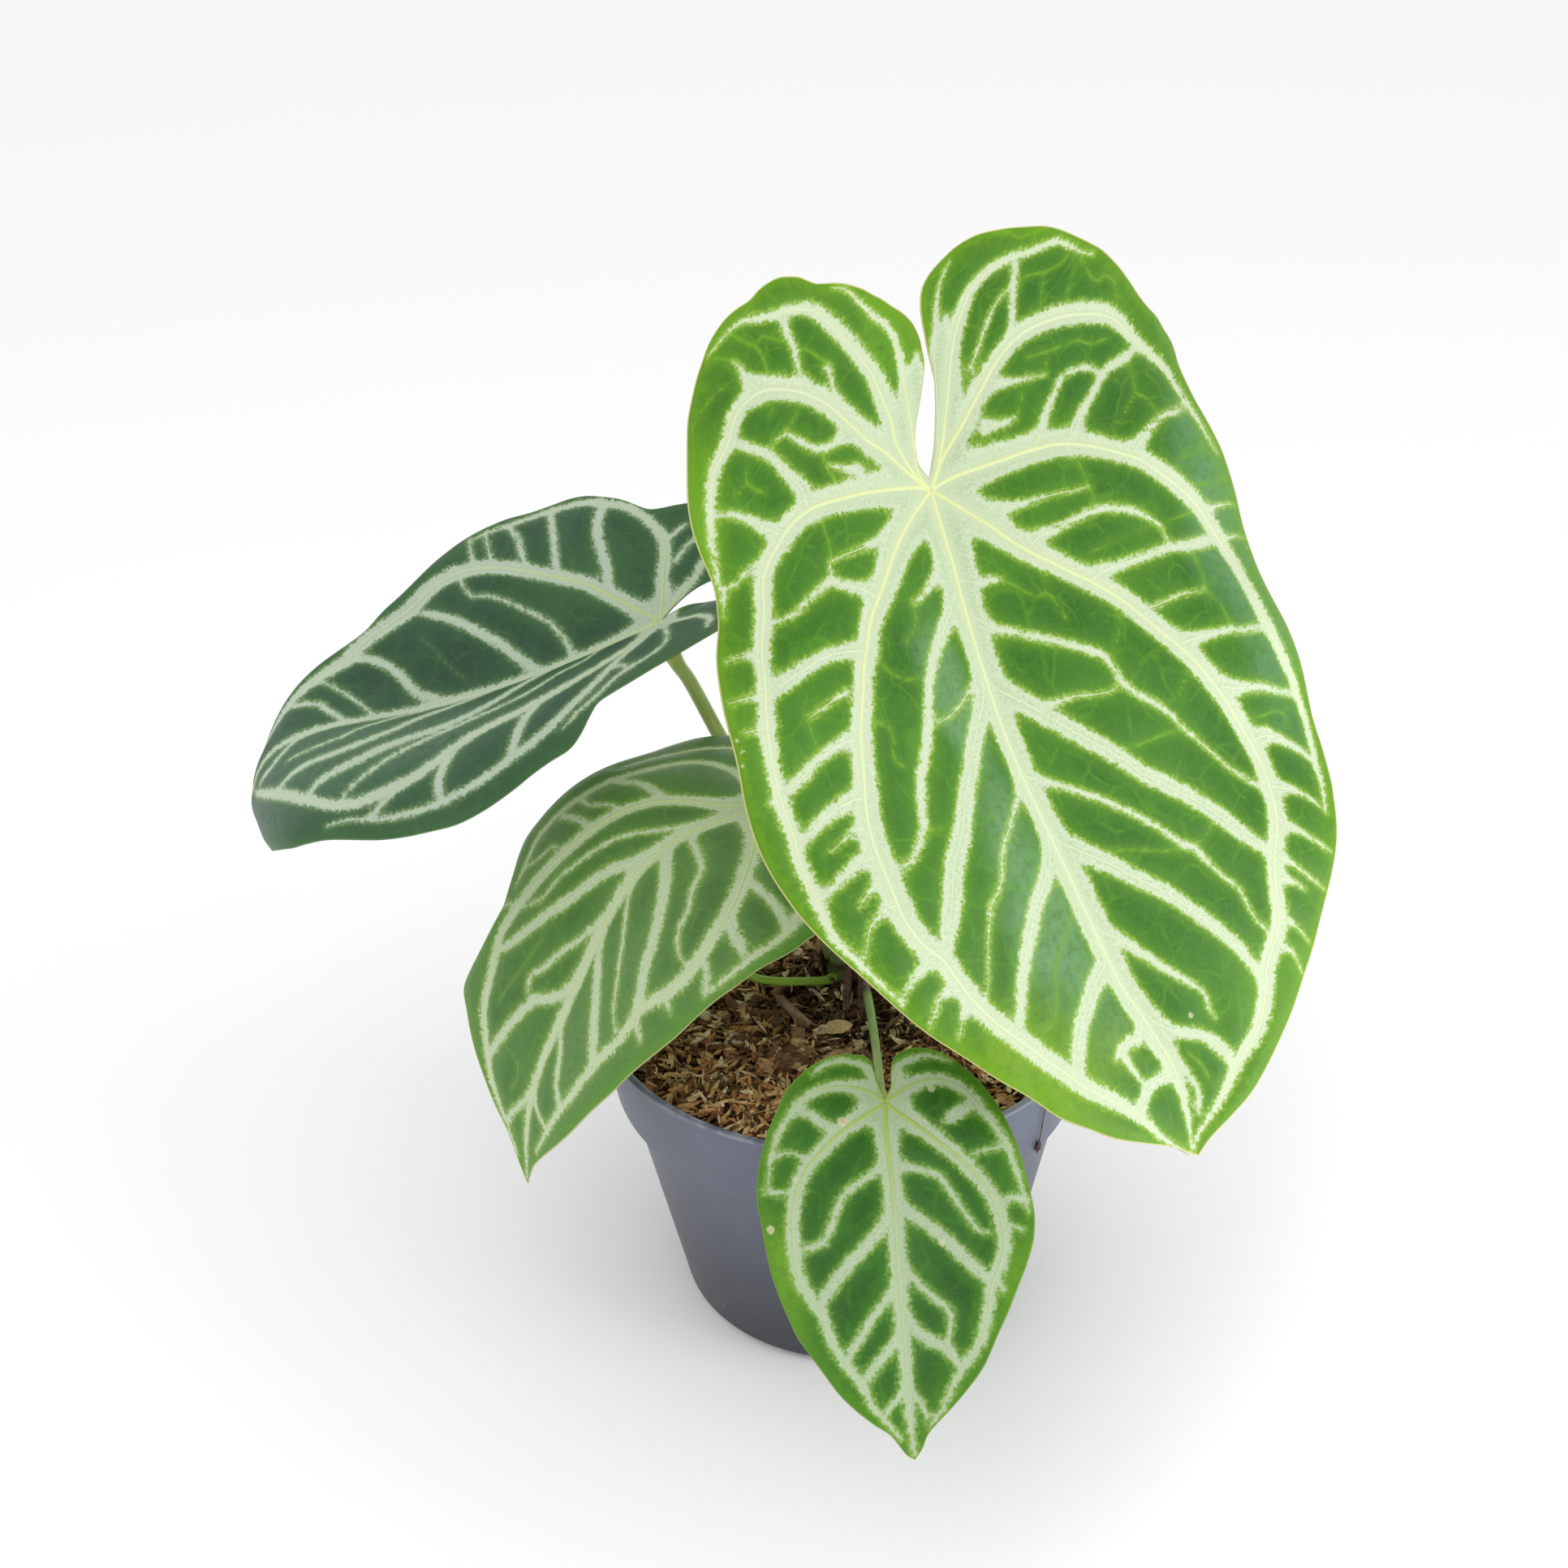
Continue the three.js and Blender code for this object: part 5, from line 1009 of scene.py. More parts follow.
    ("s", (0.8, 0.4, 0.25, 0.2), [-70,280, -115,287, -180,300, -250,310, -330,314]),
    ("y", (), [-540,440, -500,443, -430,445, -380,440]),
    ("s", (1.8, 0.8, 0.6, 0.6, 0.5, 0.6, 0.35, 0.3, 0.3), [-20,405, -46,423, -98,444, -150,461, -202,477,
        -254,492, -296,508, -345,536, -395,552, -441,564, -476,584, -516,608, -546,633, -577,657,
        -625,680]),
    ("s", (2.8, 2.2, 1.9, 1.9, 1.6, 1.4, 1.6), [-28,505, -93,540, -143,556, -194,572, -244,584, -284,600,
        -335,621, -375,637, -415,657, -451,677, -486,701, -516,721, -540,742]),
    ("y", (), [-120,625, -194,645, -294,677, -315,697, -375,737, -430,745]),
    ("s", (3.0, 2.4, 2.1, 2.0, 1.9, 1.9), [-30,680, -63,701, -123,713, -173,725, -224,741, -274,757,
        -315,777, -355,801, -378,830]),
    ("s", (2.4, 1.6, 1.5, 1.2, 0.4), [0,790, -62,813, -113,812, -163,817, -205,826]),
    ("s", (1.1, 0.9, 0.6, 1.0), [-163,817, -150,840, -130,860, -110,882]),
    ("s", (1.8, 1.3, 1.4, 2.0), [20,880, -62,878, -113,884, -153,894, -195,908]),
]
LEAVES["small"] = dict(
    length=73.4, width=28, joint=(8.3, -74.6, 108.9), pitch=[-24, -27, -32, -37, -41, -46], heading=-85.9,
    roll=[0] * 6, bend=[0.018, 0, 0.015, 0.004, 0.001, 0],
    fold={1: [6, 8, 10, 10, 9, 8], -1: [6, 8, 10, 10, 9, 8]}, curl={1: [-16] * 6, -1: [-16] * 6},
    ripple=0.6, waves=2.6, phase=0.1, rows=(50, 140), columns=46, hub=8, spread=1.0, relief=0.35)
LEAVES["small"]["outline"] = {
    1: [0,-6, 38,-30, 56,-64, 61,-98, 83,-132, 128,-153, 217,-166, 330,-164, 440,-149, 550,-119, 663,-77,
        753,-30, 830,26, 887,81, 942,149, 976,226, 998,302, 1005,362, 987,422, 954,464, 898,515, 830,567,
        753,626, 663,686, 552,762, 440,814, 306,865, 183,907, 105,937, 61,971, 0,1000],
    -1: [0,-6, -40,-38, -50,-72, -67,-106, -84,-136, -140,-151, -230,-157, -340,-156, -450,-145, -560,-119,
        -675,-81, -765,-38, -830,13, -900,64, -965,132, -1010,200, -1033,277, -1017,330, -995,396, -960,473,
        -910,541, -854,600, -790,660, -710,707, -620,758, -520,814, -408,860, -274,903, -174,929, -118,954,
        -60,985, 0,1000],
}
LEAVES["small"]["veins"] = [
    ("m", (2.4, 1.8, 1.0), [0,0, -20,100, -20,300, -20,500, -15,700, -20,850, 0,985]),
    ("m", (1.7, 1.4, 0.7), [0,0, -118,26, -252,56, -386,94, -497,132, -609,175, -687,217, -743,268,
        -776,328, -783,396, -770,464, -732,524, -642,575, -587,618, -553,669, -486,720, -408,763, -330,805,
        -274,856, -185,899, -96,941]),
    ("m", (1.6, 0.9, 0.4), [0,0, -84,-30, -185,-47, -296,-54, -408,-54, -520,-42, -620,-21, -698,13,
        -776,51, -843,90, -888,141, -926,192, -944,243]),
    ("m", (0.8, 0.6), [0,0, -40,-38, -73,-81, -140,-119, -230,-134, -341,-136, -453,-123, -540,-98]),
    ("s", (1.1,), [-642,13, -564,34, -475,64, -408,81]),
    ("s", (0.4,), [-890,150, -760,140, -680,155, -620,165]),
    ("s", (0.5,), [-966,252, -854,260, -730,260]),
    ("s", (0.8,), [-20,180, -96,196, -207,226, -319,252, -408,286, -464,328, -508,371, -564,405, -676,422,
        -770,430]),
    ("s", (1.3,), [-20,310, -96,354, -207,405, -319,447, -430,490, -542,541, -620,585]),
    ("s", (0.9,), [-20,510, -84,550, -163,588, -252,626, -330,669, -408,711, -460,735]),
    ("s", (1.0,), [-20,650, -118,703, -207,737, -308,780, -330,800]),
    ("s", (0.6,), [-20,800, -90,835, -160,860, -200,885]),
    ("m", (1.9, 1.5, 0.6), [0,0, 128,47, 239,85, 351,128, 463,171, 563,217, 652,264, 719,320, 757,379,
        764,447, 697,516, 641,558, 608,618, 563,677, 485,728, 384,771, 295,822, 217,873, 128,916]),
    ("m", (1.7, 1.0, 0.5), [0,0, 105,-30, 217,-51, 351,-60, 463,-54, 574,-30, 652,4, 708,39, 775,81,
        842,132, 887,183, 920,243, 942,303, 965,354]),
    ("m", (0.9, 0.4), [0,0, 61,-47, 105,-89, 150,-119, 262,-136, 395,-136, 507,-115]),
    ("s", (1.3,), [663,26, 552,47, 440,73]),
    ("s", (0.5,), [842,158, 730,166, 620,175]),
    ("s", (0.8,), [954,320, 842,311, 740,330]),
    ("s", (0.4,), [909,405, 800,388]),
    ("s", (0.5,), [730,567, 675,533]),
    ("s", (0.9, 0.5), [-20,190, 105,200, 217,213, 329,234, 395,277, 451,320, 518,362, 585,400, 663,409]),
    ("s", (1.3,), [-20,290, 83,328, 195,366, 329,413, 463,473, 574,516, 650,545]),
    ("s", (0.9, 0.6), [-20,470, 83,516, 172,554, 262,588, 329,618, 324,660, 295,694]),
    ("s", (1.2,), [-20,610, 83,660, 172,690, 284,711, 360,760]),
    ("s", (0.6,), [-20,810, 61,848, 117,899]),
]
LEAVES["middle"] = dict(
    length=115.9, width=45, joint=(-18.8, 5.2, 133.5), pitch=[9.7, 6.6, -36.7, -49.4, -74.1, -89.7],
    heading=-141.5, roll=[-4] * 6, bend=[0, 0, -0.14, -0.03, -0.02, 0],
    fold={1: [10, 10, 12, 12, 8, 4], -1: [6, 6, 6, 8, 8, 4]},
    curl={1: [-34, -34, -34, -30, -22, -14], -1: [-30, -30, -34, -34, -24, -14]}, ripple=0.9, waves=2.8,
    phase=0.3, rows=(60, 170), columns=54, hub=11, spread=1.3, relief=0.45)
LEAVES["middle"]["outline"] = {
    1: [0,-10, 30,-50, 50,-100, 40,-160, 60,-220, 150,-260, 300,-275, 480,-260, 660,-210, 800,-140, 910,-50,
        965,50, 996,159, 1020,210, 1020,252, 996,296, 959,346, 904,389, 839,440, 774,497, 709,547, 644,601,
        580,662, 496,720, 394,785, 283,842, 172,892, 80,936, 33,970, 0,1000],
    -1: [0,-10, -20,-50, -30,-110, -20,-170, -60,-230, -160,-265, -320,-275, -530,-255, -760,-200,
        -910,-110, -930,-30, -900,30, -874,87, -856,160, -856,210, -869,260, -902,317, -943,368, -920,404,
        -846,447, -790,483, -754,511, -750,555, -744,612, -744,677, -717,702, -624,727, -494,770, -365,813,
        -254,857, -143,900, -69,950, -22,985, 0,1000],
}
LEAVES["middle"]["veins"] = [
    ("m", (2.2, 1.8, 0.8), [0,0, 30,80, 15,200, 20,350, 20,500, 35,620, 30,720, 10,850, 0,985]),
    ("m", (2.0, 1.6, 0.8), [0,0, 135,59, 246,80, 376,116, 487,159, 580,202, 644,245, 681,296, 694,346,
        681,396, 617,447, 524,490, 496,526, 478,569, 431,612, 385,662, 339,713, 274,763, 209,813, 154,857,
        98,900]),
    ("m", (1.2, 0.8), [0,0, 300,30, 550,60, 750,100, 880,170, 930,224, 922,281, 894,339, 840,389]),
    ("m", (1.6, 0.8), [0,0, 120,-60, 260,-100, 420,-110, 580,-70, 740,0, 840,90, 910,180]),
    ("m", (1.2, 0.6), [0,0, 70,-80, 100,-150, 200,-210, 360,-215, 500,-190]),
    ("s", (1.2,), [580,170, 709,170, 820,177, 913,195]),
    ("s", (1.4,), [663,253, 765,274, 876,292]),
    ("s", (0.9,), [700,346, 783,368, 820,404]),
    ("s", (0.5,), [626,454, 690,468]),
    ("s", (0.8,), [506,519, 598,547]),
    ("s", (0.9, 0.5), [20,150, 98,174, 228,192, 339,217, 394,253, 469,289, 506,332, 580,368, 654,378]),
    ("s", (1.6,), [20,200, 80,231, 191,260, 283,296, 357,339, 404,382, 432,425, 469,468, 500,510]),
    ("s", (0.7, 0.4), [20,300, 61,325, 135,368, 209,411, 265,454, 320,497, 367,533, 430,560]),
    ("s", (1.4,), [20,420, 80,461, 135,490, 209,533, 283,576, 357,619, 395,650]),
    ("s", (0.9,), [30,600, 80,634, 154,670, 191,713, 246,749, 260,770]),
    ("s", (0.8,), [20,760, 80,800, 154,820, 190,830]),
    ("m", (1.9, 2.0, 0.7), [0,0, -87,66, -180,102, -272,138, -337,181, -383,224, -420,274, -457,317,
        -513,368, -569,418, -606,461, -633,511, -643,562, -587,605, -541,648, -494,698, -420,734, -356,770,
        -291,813, -217,849, -143,885, -70,940]),
    ("m", (1.5, 0.9), [0,0, -200,-30, -400,-30, -550,0, -606,44, -624,94, -661,159, -698,217, -744,281,
        -782,325, -809,368, -772,418, -754,461]),
    ("m", (1.4, 0.7), [0,0, -100,-70, -240,-130, -420,-160, -600,-120, -740,-40, -770,40, -770,120]),
    ("m", (1.0, 0.6), [0,0, -50,-80, -70,-150, -180,-210, -340,-225]),
    ("s", (1.1,), [-630,160, -596,159, -494,141, -365,138, -290,140]),
    ("s", (0.9,), [-698,289, -587,278, -494,274, -420,270]),
    ("s", (0.6,), [-690,238, -578,238, -494,220, -400,210]),
    ("s", (0.4,), [-772,425, -680,396, -606,353, -510,340]),
    ("s", (0.5,), [-754,511, -698,497, -640,500]),
    ("s", (0.8, 0.5), [15,130, -69,181, -143,217, -235,260, -291,303, -346,346, -420,396, -457,447,
        -569,483, -630,490]),
    ("s", (1.5,), [10,220, -50,281, -124,317, -198,368, -272,418, -365,468, -439,511, -513,555, -600,590]),
    ("s", (0.8,), [20,380, -31,425, -87,468, -161,511, -217,555, -272,583, -235,612]),
    ("s", (1.3,), [20,520, -31,569, -106,598, -180,616, -217,648, -272,698, -309,741, -340,775]),
    ("y", (), [-309,511, -346,569, -402,662]),
    ("s", (0.9,), [10,780, -50,820, -106,849, -150,880]),
    ("y", (), [-124,740, -100,770, -130,800]),
]
LEAVES["dark"] = dict(
    length=130.3, width=45, joint=(-44.1, 48.8, 160.2), pitch=[-4.6, -14.5, -10.6, -2.4, -57.1, -149.5],
    heading=-161.5, roll=[-16, -16, -16, -14, -10, -6], bend=[0, 0, 0.02, 0.05, -0.01, 0],
    fold={1: [40, 40, 38, 24, 10, 4], -1: [16, 16, 16, 12, -24, -34]},
    curl={1: [-34, -38, -50, -45, -20, -10], -1: [-20, -20, -20, -20, -20, -14]}, ripple=0.9, waves=2.9,
    phase=0.05, rows=(50, 190), columns=54, hub=10, spread=0.8, relief=0.4)
LEAVES["dark"]["outline"] = {
    1: [0,-10, -18,-27, -28,-55, -10,-85, 60,-130, 160,-170, 290,-185, 420,-165, 520,-110, 575,-53, 602,-21,
        630,17, 648,56, 667,100, 676,139, 691,174, 750,197, 833,225, 889,254, 907,292, 935,331, 972,369,
        1009,420, 1022,471, 1000,522, 980,580, 963,631, 935,682, 898,721, 843,765, 768,804, 690,830,
        580,860, 430,895, 270,930, 120,965, 0,1000],
    -1: [0,-10, -46,-37, -83,-66, -106,-91, -117,-117, -120,-150, -140,-190, -200,-225, -310,-245,
        -440,-240, -570,-210, -660,-165, -690,-130, -705,-100, -730,-78, -787,-62, -880,-40, -972,-8,
        -1037,17, -1083,49, -1106,88, -1117,132, -1124,177, -1102,216, -1074,254, -1030,305, -972,356,
        -898,401, -806,446, -694,497, -565,542, -480,590, -420,640, -360,700, -290,770, -210,840, -120,905,
        0,1000],
}
LEAVES["dark"]["veins"] = [
    ("m", (1.9, 1.6, 0.9), [0,0, 20,100, 30,200, 20,300, 0,400, 10,500, 30,580, 30,650, 10,720, -10,780,
        0,850]),
    ("m", (1.3, 1.5, 1.8), [0,0, 120,24, 194,43, 269,75, 324,113, 370,158, 407,209, 435,254, 463,305,
        472,350, 491,395, 537,439, 602,484, 657,523, 685,561, 713,599, 728,638, 713,676, 639,708, 528,740,
        417,766, 306,791, 194,817, 65,842]),
    ("s", (0.6,), [0,0, 83,-5, 230,-2, 361,5, 454,17, 509,43, 537,81, 583,133, 639,171, 700,220, 750,250]),
    ("s", (1.0, 1.3, 0.6), [120,24, 250,49, 324,75, 417,113, 491,145, 565,184, 620,222, 694,267, 750,312,
        787,356, 824,395, 852,439, 870,490, 870,542, 861,593, 843,631, 824,670, 815,714]),
    ("s", (0.7,), [454,120, 491,104, 546,100]),
    ("s", (1.2,), [444,267, 528,299, 620,324, 713,344, 778,356]),
    ("s", (1.1,), [574,452, 657,471, 750,487, 860,490]),
    ("s", (0.7,), [676,548, 750,580, 806,606, 843,625]),
    ("s", (0.6,), [50,120, 176,158, 213,209, 287,260, 324,299, 343,350, 361,414, 398,478, 454,535, 528,587,
        620,638, 700,670]),
    ("s", (1.3,), [30,200, 176,299, 231,331, 287,388, 324,439, 343,490, 380,555, 435,606, 472,650, 509,695,
        556,721]),
    ("s", (1.0,), [20,340, 60,380, 130,465, 194,510, 250,548, 306,606, 333,657, 324,714, 333,753, 330,785]),
    ("s", (0.5,), [20,460, 60,500, 139,587, 194,625, 213,682, 194,734]),
    ("s", (0.8,), [30,660, 46,708, 93,740, 120,778, 93,817]),
    ("m", (1.2, 0.9), [0,0, 60,-10, 157,-34, 230,-66, 361,-79, 454,-66]),
    ("m", (2.0, 2.6, 1.0), [0,0, -65,11, -176,37, -287,62, -398,88, -491,120, -583,158, -676,197, -750,235,
        -796,273, -820,312, -815,350, -778,388, -713,420, -648,452, -602,484, -528,529, -454,561, -380,590,
        -340,640, -290,700, -220,770, -120,820, -40,850]),
    ("m", (1.7, 1.3, 0.7), [0,0, -65,-15, -176,-34, -287,-50, -398,-69, -509,-77, -602,-72, -694,-63,
        -806,-43, -889,-15, -972,17, -1028,56, -1065,107, -1069,158, -1056,209, -1037,260]),
    ("m", (1.2, 0.8), [0,0, -46,-27, -120,-66, -176,-98, -241,-123, -350,-170, -500,-200, -620,-190]),
    ("s", (0.6,), [-320,-80, -420,-130]),
    ("s", (0.6,), [-470,-80, -530,-130]),
    ("s", (1.4,), [-930,0, -889,-2, -787,21, -676,33, -546,40, -435,46, -324,56]),
    ("s", (1.0,), [-1046,94, -917,104, -806,113, -676,125, -565,133]),
    ("s", (0.9,), [-1056,184, -917,177, -787,184, -676,184]),
    ("s", (0.5,), [-1046,235, -880,241, -770,245]),
    ("s", (0.5,), [-1030,270, -898,276, -810,280]),
    ("s", (0.8, 0.5), [20,165, 0,170, -120,174, -232,184, -306,197, -398,222, -509,251, -583,280, -611,305,
        -694,315, -800,320]),
    ("s", (1.4,), [20,240, -120,267, -250,292, -380,324, -491,356, -565,388, -630,430]),
    ("y", (), [-100,375, -232,401, -361,420, -454,439]),
    ("s", (1.3,), [0,420, -102,471, -232,497, -324,523, -380,555, -410,585]),
    ("s", (0.5,), [0,560, -100,580, -176,600, -300,630]),
    ("s", (0.8,), [20,610, -102,638, -157,650, -260,700]),
]


def smooth(x, values):
    """A leaf's values at its stations as one smooth curve: a cubic a span, each station's slope
    taken from its two neighbours."""
    values = np.asarray(values, float)
    slopes = np.gradient(values, STATIONS)
    i = np.clip(np.searchsorted(STATIONS, x, side="right") - 1, 0, len(STATIONS) - 2)
    span = STATIONS[i + 1] - STATIONS[i]
    t = np.clip((x - STATIONS[i]) / span, -0.5, 1.5)
    return ((2 * t ** 3 - 3 * t ** 2 + 1) * values[i] + (t ** 3 - 2 * t ** 2 + t) * span * slopes[i]
            + (3 * t ** 2 - 2 * t ** 3) * values[i + 1] + (t ** 3 - t ** 2) * span * slopes[i + 1])


def leaf_point(leaf, u, v):
    """The place in space of flat leaf places: the midrib's line, whose direction pitches along
    u, plus each half's arc across it (a fold up from the midrib, then a curl over the width),
    plus a ripple that grows with the square of the distance from the midrib."""
    heading = np.radians(leaf["heading"])
    level = np.array([-np.sin(heading), np.cos(heading), 0])

    def ahead(place):
        pitch = np.radians(smooth(place, leaf["pitch"]))
        return np.stack([np.cos(pitch) * np.cos(heading), np.cos(pitch) * np.sin(heading), np.sin(pitch)], -1)

    fine = np.linspace(-0.5, 1.05, 1551)
    steps = ahead((fine[1:] + fine[:-1]) / 2) * leaf["length"] * (fine[1] - fine[0])
    axis = np.vstack([np.zeros(3), np.cumsum(steps, axis=0)])
    middle = np.stack([np.interp(u, fine, way) - np.interp(0, fine, way) + joint
                       for way, joint in zip(axis.T, leaf["joint"])], -1)
    along = ahead(u)
    turn = np.radians(smooth(u, leaf["roll"]))[..., None]
    across = np.cos(turn) * level + np.sin(turn) * np.cross(along, level)
    normal = np.cross(along, across)
    a, c = (np.radians(np.where(v < 0, smooth(u, leaf[key][-1]), smooth(u, leaf[key][1])))
            for key in ("fold", "curl"))
    t = np.abs(v)
    soft = np.sqrt(t ** 2 + CREASE ** 2) - CREASE
    reach = (np.sin(a + c * t) - np.sin(a)) / c
    rise = (np.cos(a) - np.cos(a + c * soft)) / c
    phase = TURN * (leaf["waves"] * u + leaf["phase"] + np.where(v < 0, 0.37, 0))
    wave = leaf["ripple"] * np.minimum(t, 1.3) ** 2 * np.sin(phase)
    sideways = (smooth(u, leaf["bend"]) + np.where(v < 0, -reach, reach)) * leaf["width"]
    return middle + across * sideways[..., None] + normal * (rise * leaf["width"] + wave)[..., None]


def leaf_normal(leaf, u, v):
    """The way the top face looks: the cross product of the two slopes, each a small difference."""
    along = leaf_point(leaf, u + SMALL, v) - leaf_point(leaf, u - SMALL, v)
    across = leaf_point(leaf, u, v + 3 * SMALL) - leaf_point(leaf, u, v - 3 * SMALL)
    normal = np.cross(along, across)
    return normal / np.linalg.norm(normal, axis=-1)[..., None]


def flat_line(leaf, points, steps=6):
    """A vein or outline as a smooth line on the flat leaf, in millimetres."""
    return catmull(np.reshape(points, (-1, 2)) / 1000, steps) * [leaf["width"], leaf["length"]]


def distance_to(places, line):
    """How far places are from a line, the share of its length at the nearest point of it, and
    the side they are on, 1 or -1: the least over its straight segments."""
    reach = lengths(line)
    best, share, side = np.array([[1e6], [0], [1]]) * np.ones(len(places))
    for start, stop, before, after in zip(line[:-1], line[1:], reach[:-1], reach[1:]):
        way = stop - start
        t = np.clip((places - start) @ way / max(way @ way, 1e-9), 0, 1)
        far = np.hypot(*(places - start - t[:, None] * way).T)
        nearer = far < best
        best = np.where(nearer, far, best)
        share = np.where(nearer, (before + t * (after - before)) / reach[-1], share)
        turn = way[0] * (places[:, 1] - start[1]) - way[1] * (places[:, 0] - start[0])
        side = np.where(nearer, np.where(turn < 0, -1.0, 1.0), side)
    return best, share, side


def vein_fields(leaf, places):
    """For flat places: the signed distance to the silver bands (less than 0 inside, joined
    softly by a sum of exponentials, and wider by a bell round the joint), the distances to the
    nearest main vein, to any vein and to a thin yellow one, and for the nearest band how far
    along its vein the place is, a number for the vein and its side, and the half width."""
    bell = np.hypot(*places.T) / leaf["hub"]
    wider = leaf["spread"] * np.exp(-bell ** 2)
    soft = 0.5 + 1.2 * np.exp(-bell)
    total = np.full(len(places), 1e-7)
    main, nearest, best, thread = np.full((4, len(places)), FAR)
    along = np.zeros((len(places), 3))
    for number, (kind, widths, points) in enumerate(leaf["veins"]):
        line = flat_line(leaf, points, 2 if len(points) > 18 else 4)
        low, high = line.min(axis=0) - 12, line.max(axis=0) + 12
        near = np.flatnonzero(np.all((places > low) & (places < high), axis=1))
        far, share, side = distance_to(places[near], line)
        if kind == "y":
            thread[near] = np.minimum(thread[near], far)
            nearest[near] = np.minimum(nearest[near], far + 1.5)
            continue
        half = np.interp(share, np.linspace(0, 1, len(widths)), widths)
        half = half * (1 - 0.55 * np.clip((share - 0.8) / 0.2, 0, 1) ** 2) + wider[near]
        total[near] += np.exp(-np.clip(far - half, -20, 40) / soft[near])
        closer = far - half < best[near]
        number_of_side = 13.7 * number + 5 * side
        along[near[closer]] = np.stack([share * lengths(line)[-1], number_of_side, half], -1)[closer]
        best[near] = np.minimum(best[near], far - half)
        if kind != "w":
            nearest[near] = np.minimum(nearest[near], far)
        if kind == "m":
            main[near] = np.minimum(main[near], far)
    return -soft * np.log(total), main, nearest, thread, along


def relief(leaf, main, nearest):
    """The leaf's quilting: soft pillows between the veins and a furrow along each main vein."""
    return leaf["relief"] * (1 - np.exp(-(nearest / 5) ** 2) - 0.8 * np.exp(-(main / 2.4) ** 2))


def half_places(leaf, side):
    """Flat places of half a leaf in rows, from the top of its lobe to the tip, each from the
    lobe's inner edge or the midrib out to the margin, and the lobe's top."""
    line = catmull(np.reshape(leaf["outline"][side], (-1, 2)) / 1000, 8)
    top = int(np.argmin(line[:, 1]))
    inner, outer = line[top::-1], line[top:]
    sinus = line[0, 1]
    lobe, body = leaf["rows"]
    lobe_u = line[top, 1] + (sinus - line[top, 1]) * (1 - np.cos(np.pi / 2 * np.arange(1, lobe + 1) / lobe))
    body_u = sinus + (1 - sinus) * np.sin(np.pi / 2 * np.arange(1, body) / body) ** 0.92
    near = np.interp(lobe_u, np.maximum.accumulate(inner[:, 1]), inner[:, 0])
    near = np.concatenate([near[:-1], np.zeros(body)])
    u = np.concatenate([lobe_u, body_u])
    far = np.interp(u, np.maximum.accumulate(outer[:, 1]), outer[:, 0])
    share = np.linspace(0, 1, leaf["columns"] + 1)
    v = near[:, None] + (far - near)[:, None] * share
    return np.stack([v, u[:, None] + 0 * v], -1), line[top]


def blade_mesh(leaf):
    """The leaf as flat places and faces: both halves' rows of quads, a fan at each lobe's top
    and at the tip, with the shared places of the midrib joined."""
    places, faces = [], []
    offset = 0
    for side in (1, -1):
        grid, top = half_places(leaf, side)
        rows, columns = grid.shape[:2]
        index = offset + np.arange(rows * columns).reshape(rows, columns)
        places += [grid.reshape(-1, 2), [top], [[0, 1]]]
        apex, tip = offset + rows * columns, offset + rows * columns + 1
        quads = np.stack([index[:-1, :-1], index[1:, :-1], index[1:, 1:], index[:-1, 1:]], -1).reshape(-1, 4)
        end = fan(tip, index[-1, 1:], index[-1, :-1])[:, [2, 0, 1]]
        fans = np.vstack([fan(apex, index[0, :-1], index[0, 1:]), end])
        faces.append([quads[:, ::side], fans[:, ::side]])
        offset += rows * columns + 2
    places = np.vstack(places)
    _, keep, shared = np.unique(np.round(places, 6), axis=0, return_index=True, return_inverse=True)
    return places[keep], *(shared.ravel()[np.vstack(groups)] for groups in zip(*faces))


def border_of(groups):
    """The edges that only one face has, in the direction that face runs."""
    edges = np.vstack([np.stack([group.ravel(), np.roll(group, -1, axis=1).ravel()], -1) for group in groups])
    edges = edges[edges[:, 0] != edges[:, 1]]
    top = edges.max() + 1
    code, back = edges[:, 0] * top + edges[:, 1], edges[:, 1] * top + edges[:, 0]
    return edges[~np.isin(code, back)]


def sheet_at(leaf, flat):
    """The sheet at flat places: its middle surface, bent and quilted, the way its top looks, half
    its thickness, which is least at the margin, the vein fields and the margin's distance."""
    u, v = flat[:, 1] / leaf["length"], flat[:, 0] / leaf["width"]
    silver, main, nearest, thread, fringe = vein_fields(leaf, flat)
    edges = [flat_line(leaf, line, 3) for line in leaf["outline"].values()]
    margin = np.minimum(*(distance_to(flat, edge)[0] for edge in edges))
    normal = leaf_normal(leaf, u, v)
    lift = relief(leaf, main, nearest) * np.clip(margin / 3, 0, 1)
    centre = leaf_point(leaf, u, v) + normal * lift[:, None]
    thick = MARGIN_HALF_THICK + EXTRA_HALF_THICK * np.clip(margin / 4, 0, 1)
    return centre, normal, thick, silver, main, fringe, margin, thread


RIDGE_SECTION = np.array([[-1, -0.5], [-0.85, 0.1], [-0.45, 0.8], [0, 1], [0.45, 0.8], [0.85, 0.1],
                          [1, -0.5], [0, -0.8]])


def ridge(centre, normal, thick, half, height, face):
    """A vein standing up from one face of a leaf: a flat dome section carried along the line, its
    foot just under the skin; face 1 is the top and -1 beneath."""
    base = centre + normal * (face * thick)[:, None]
    across = np.cross(normal, np.gradient(centre, axis=0))
    across /= np.linalg.norm(across, axis=1)[:, None]
    side, rise = RIDGE_SECTION.T
    side = side * half[:, None]
    lift = np.where(rise < 0, rise * (1 if face > 0 else 0.25), rise) * height[:, None] * face
    return base[:, None] + across[:, None] * side[..., None] + normal[:, None] * lift[..., None]


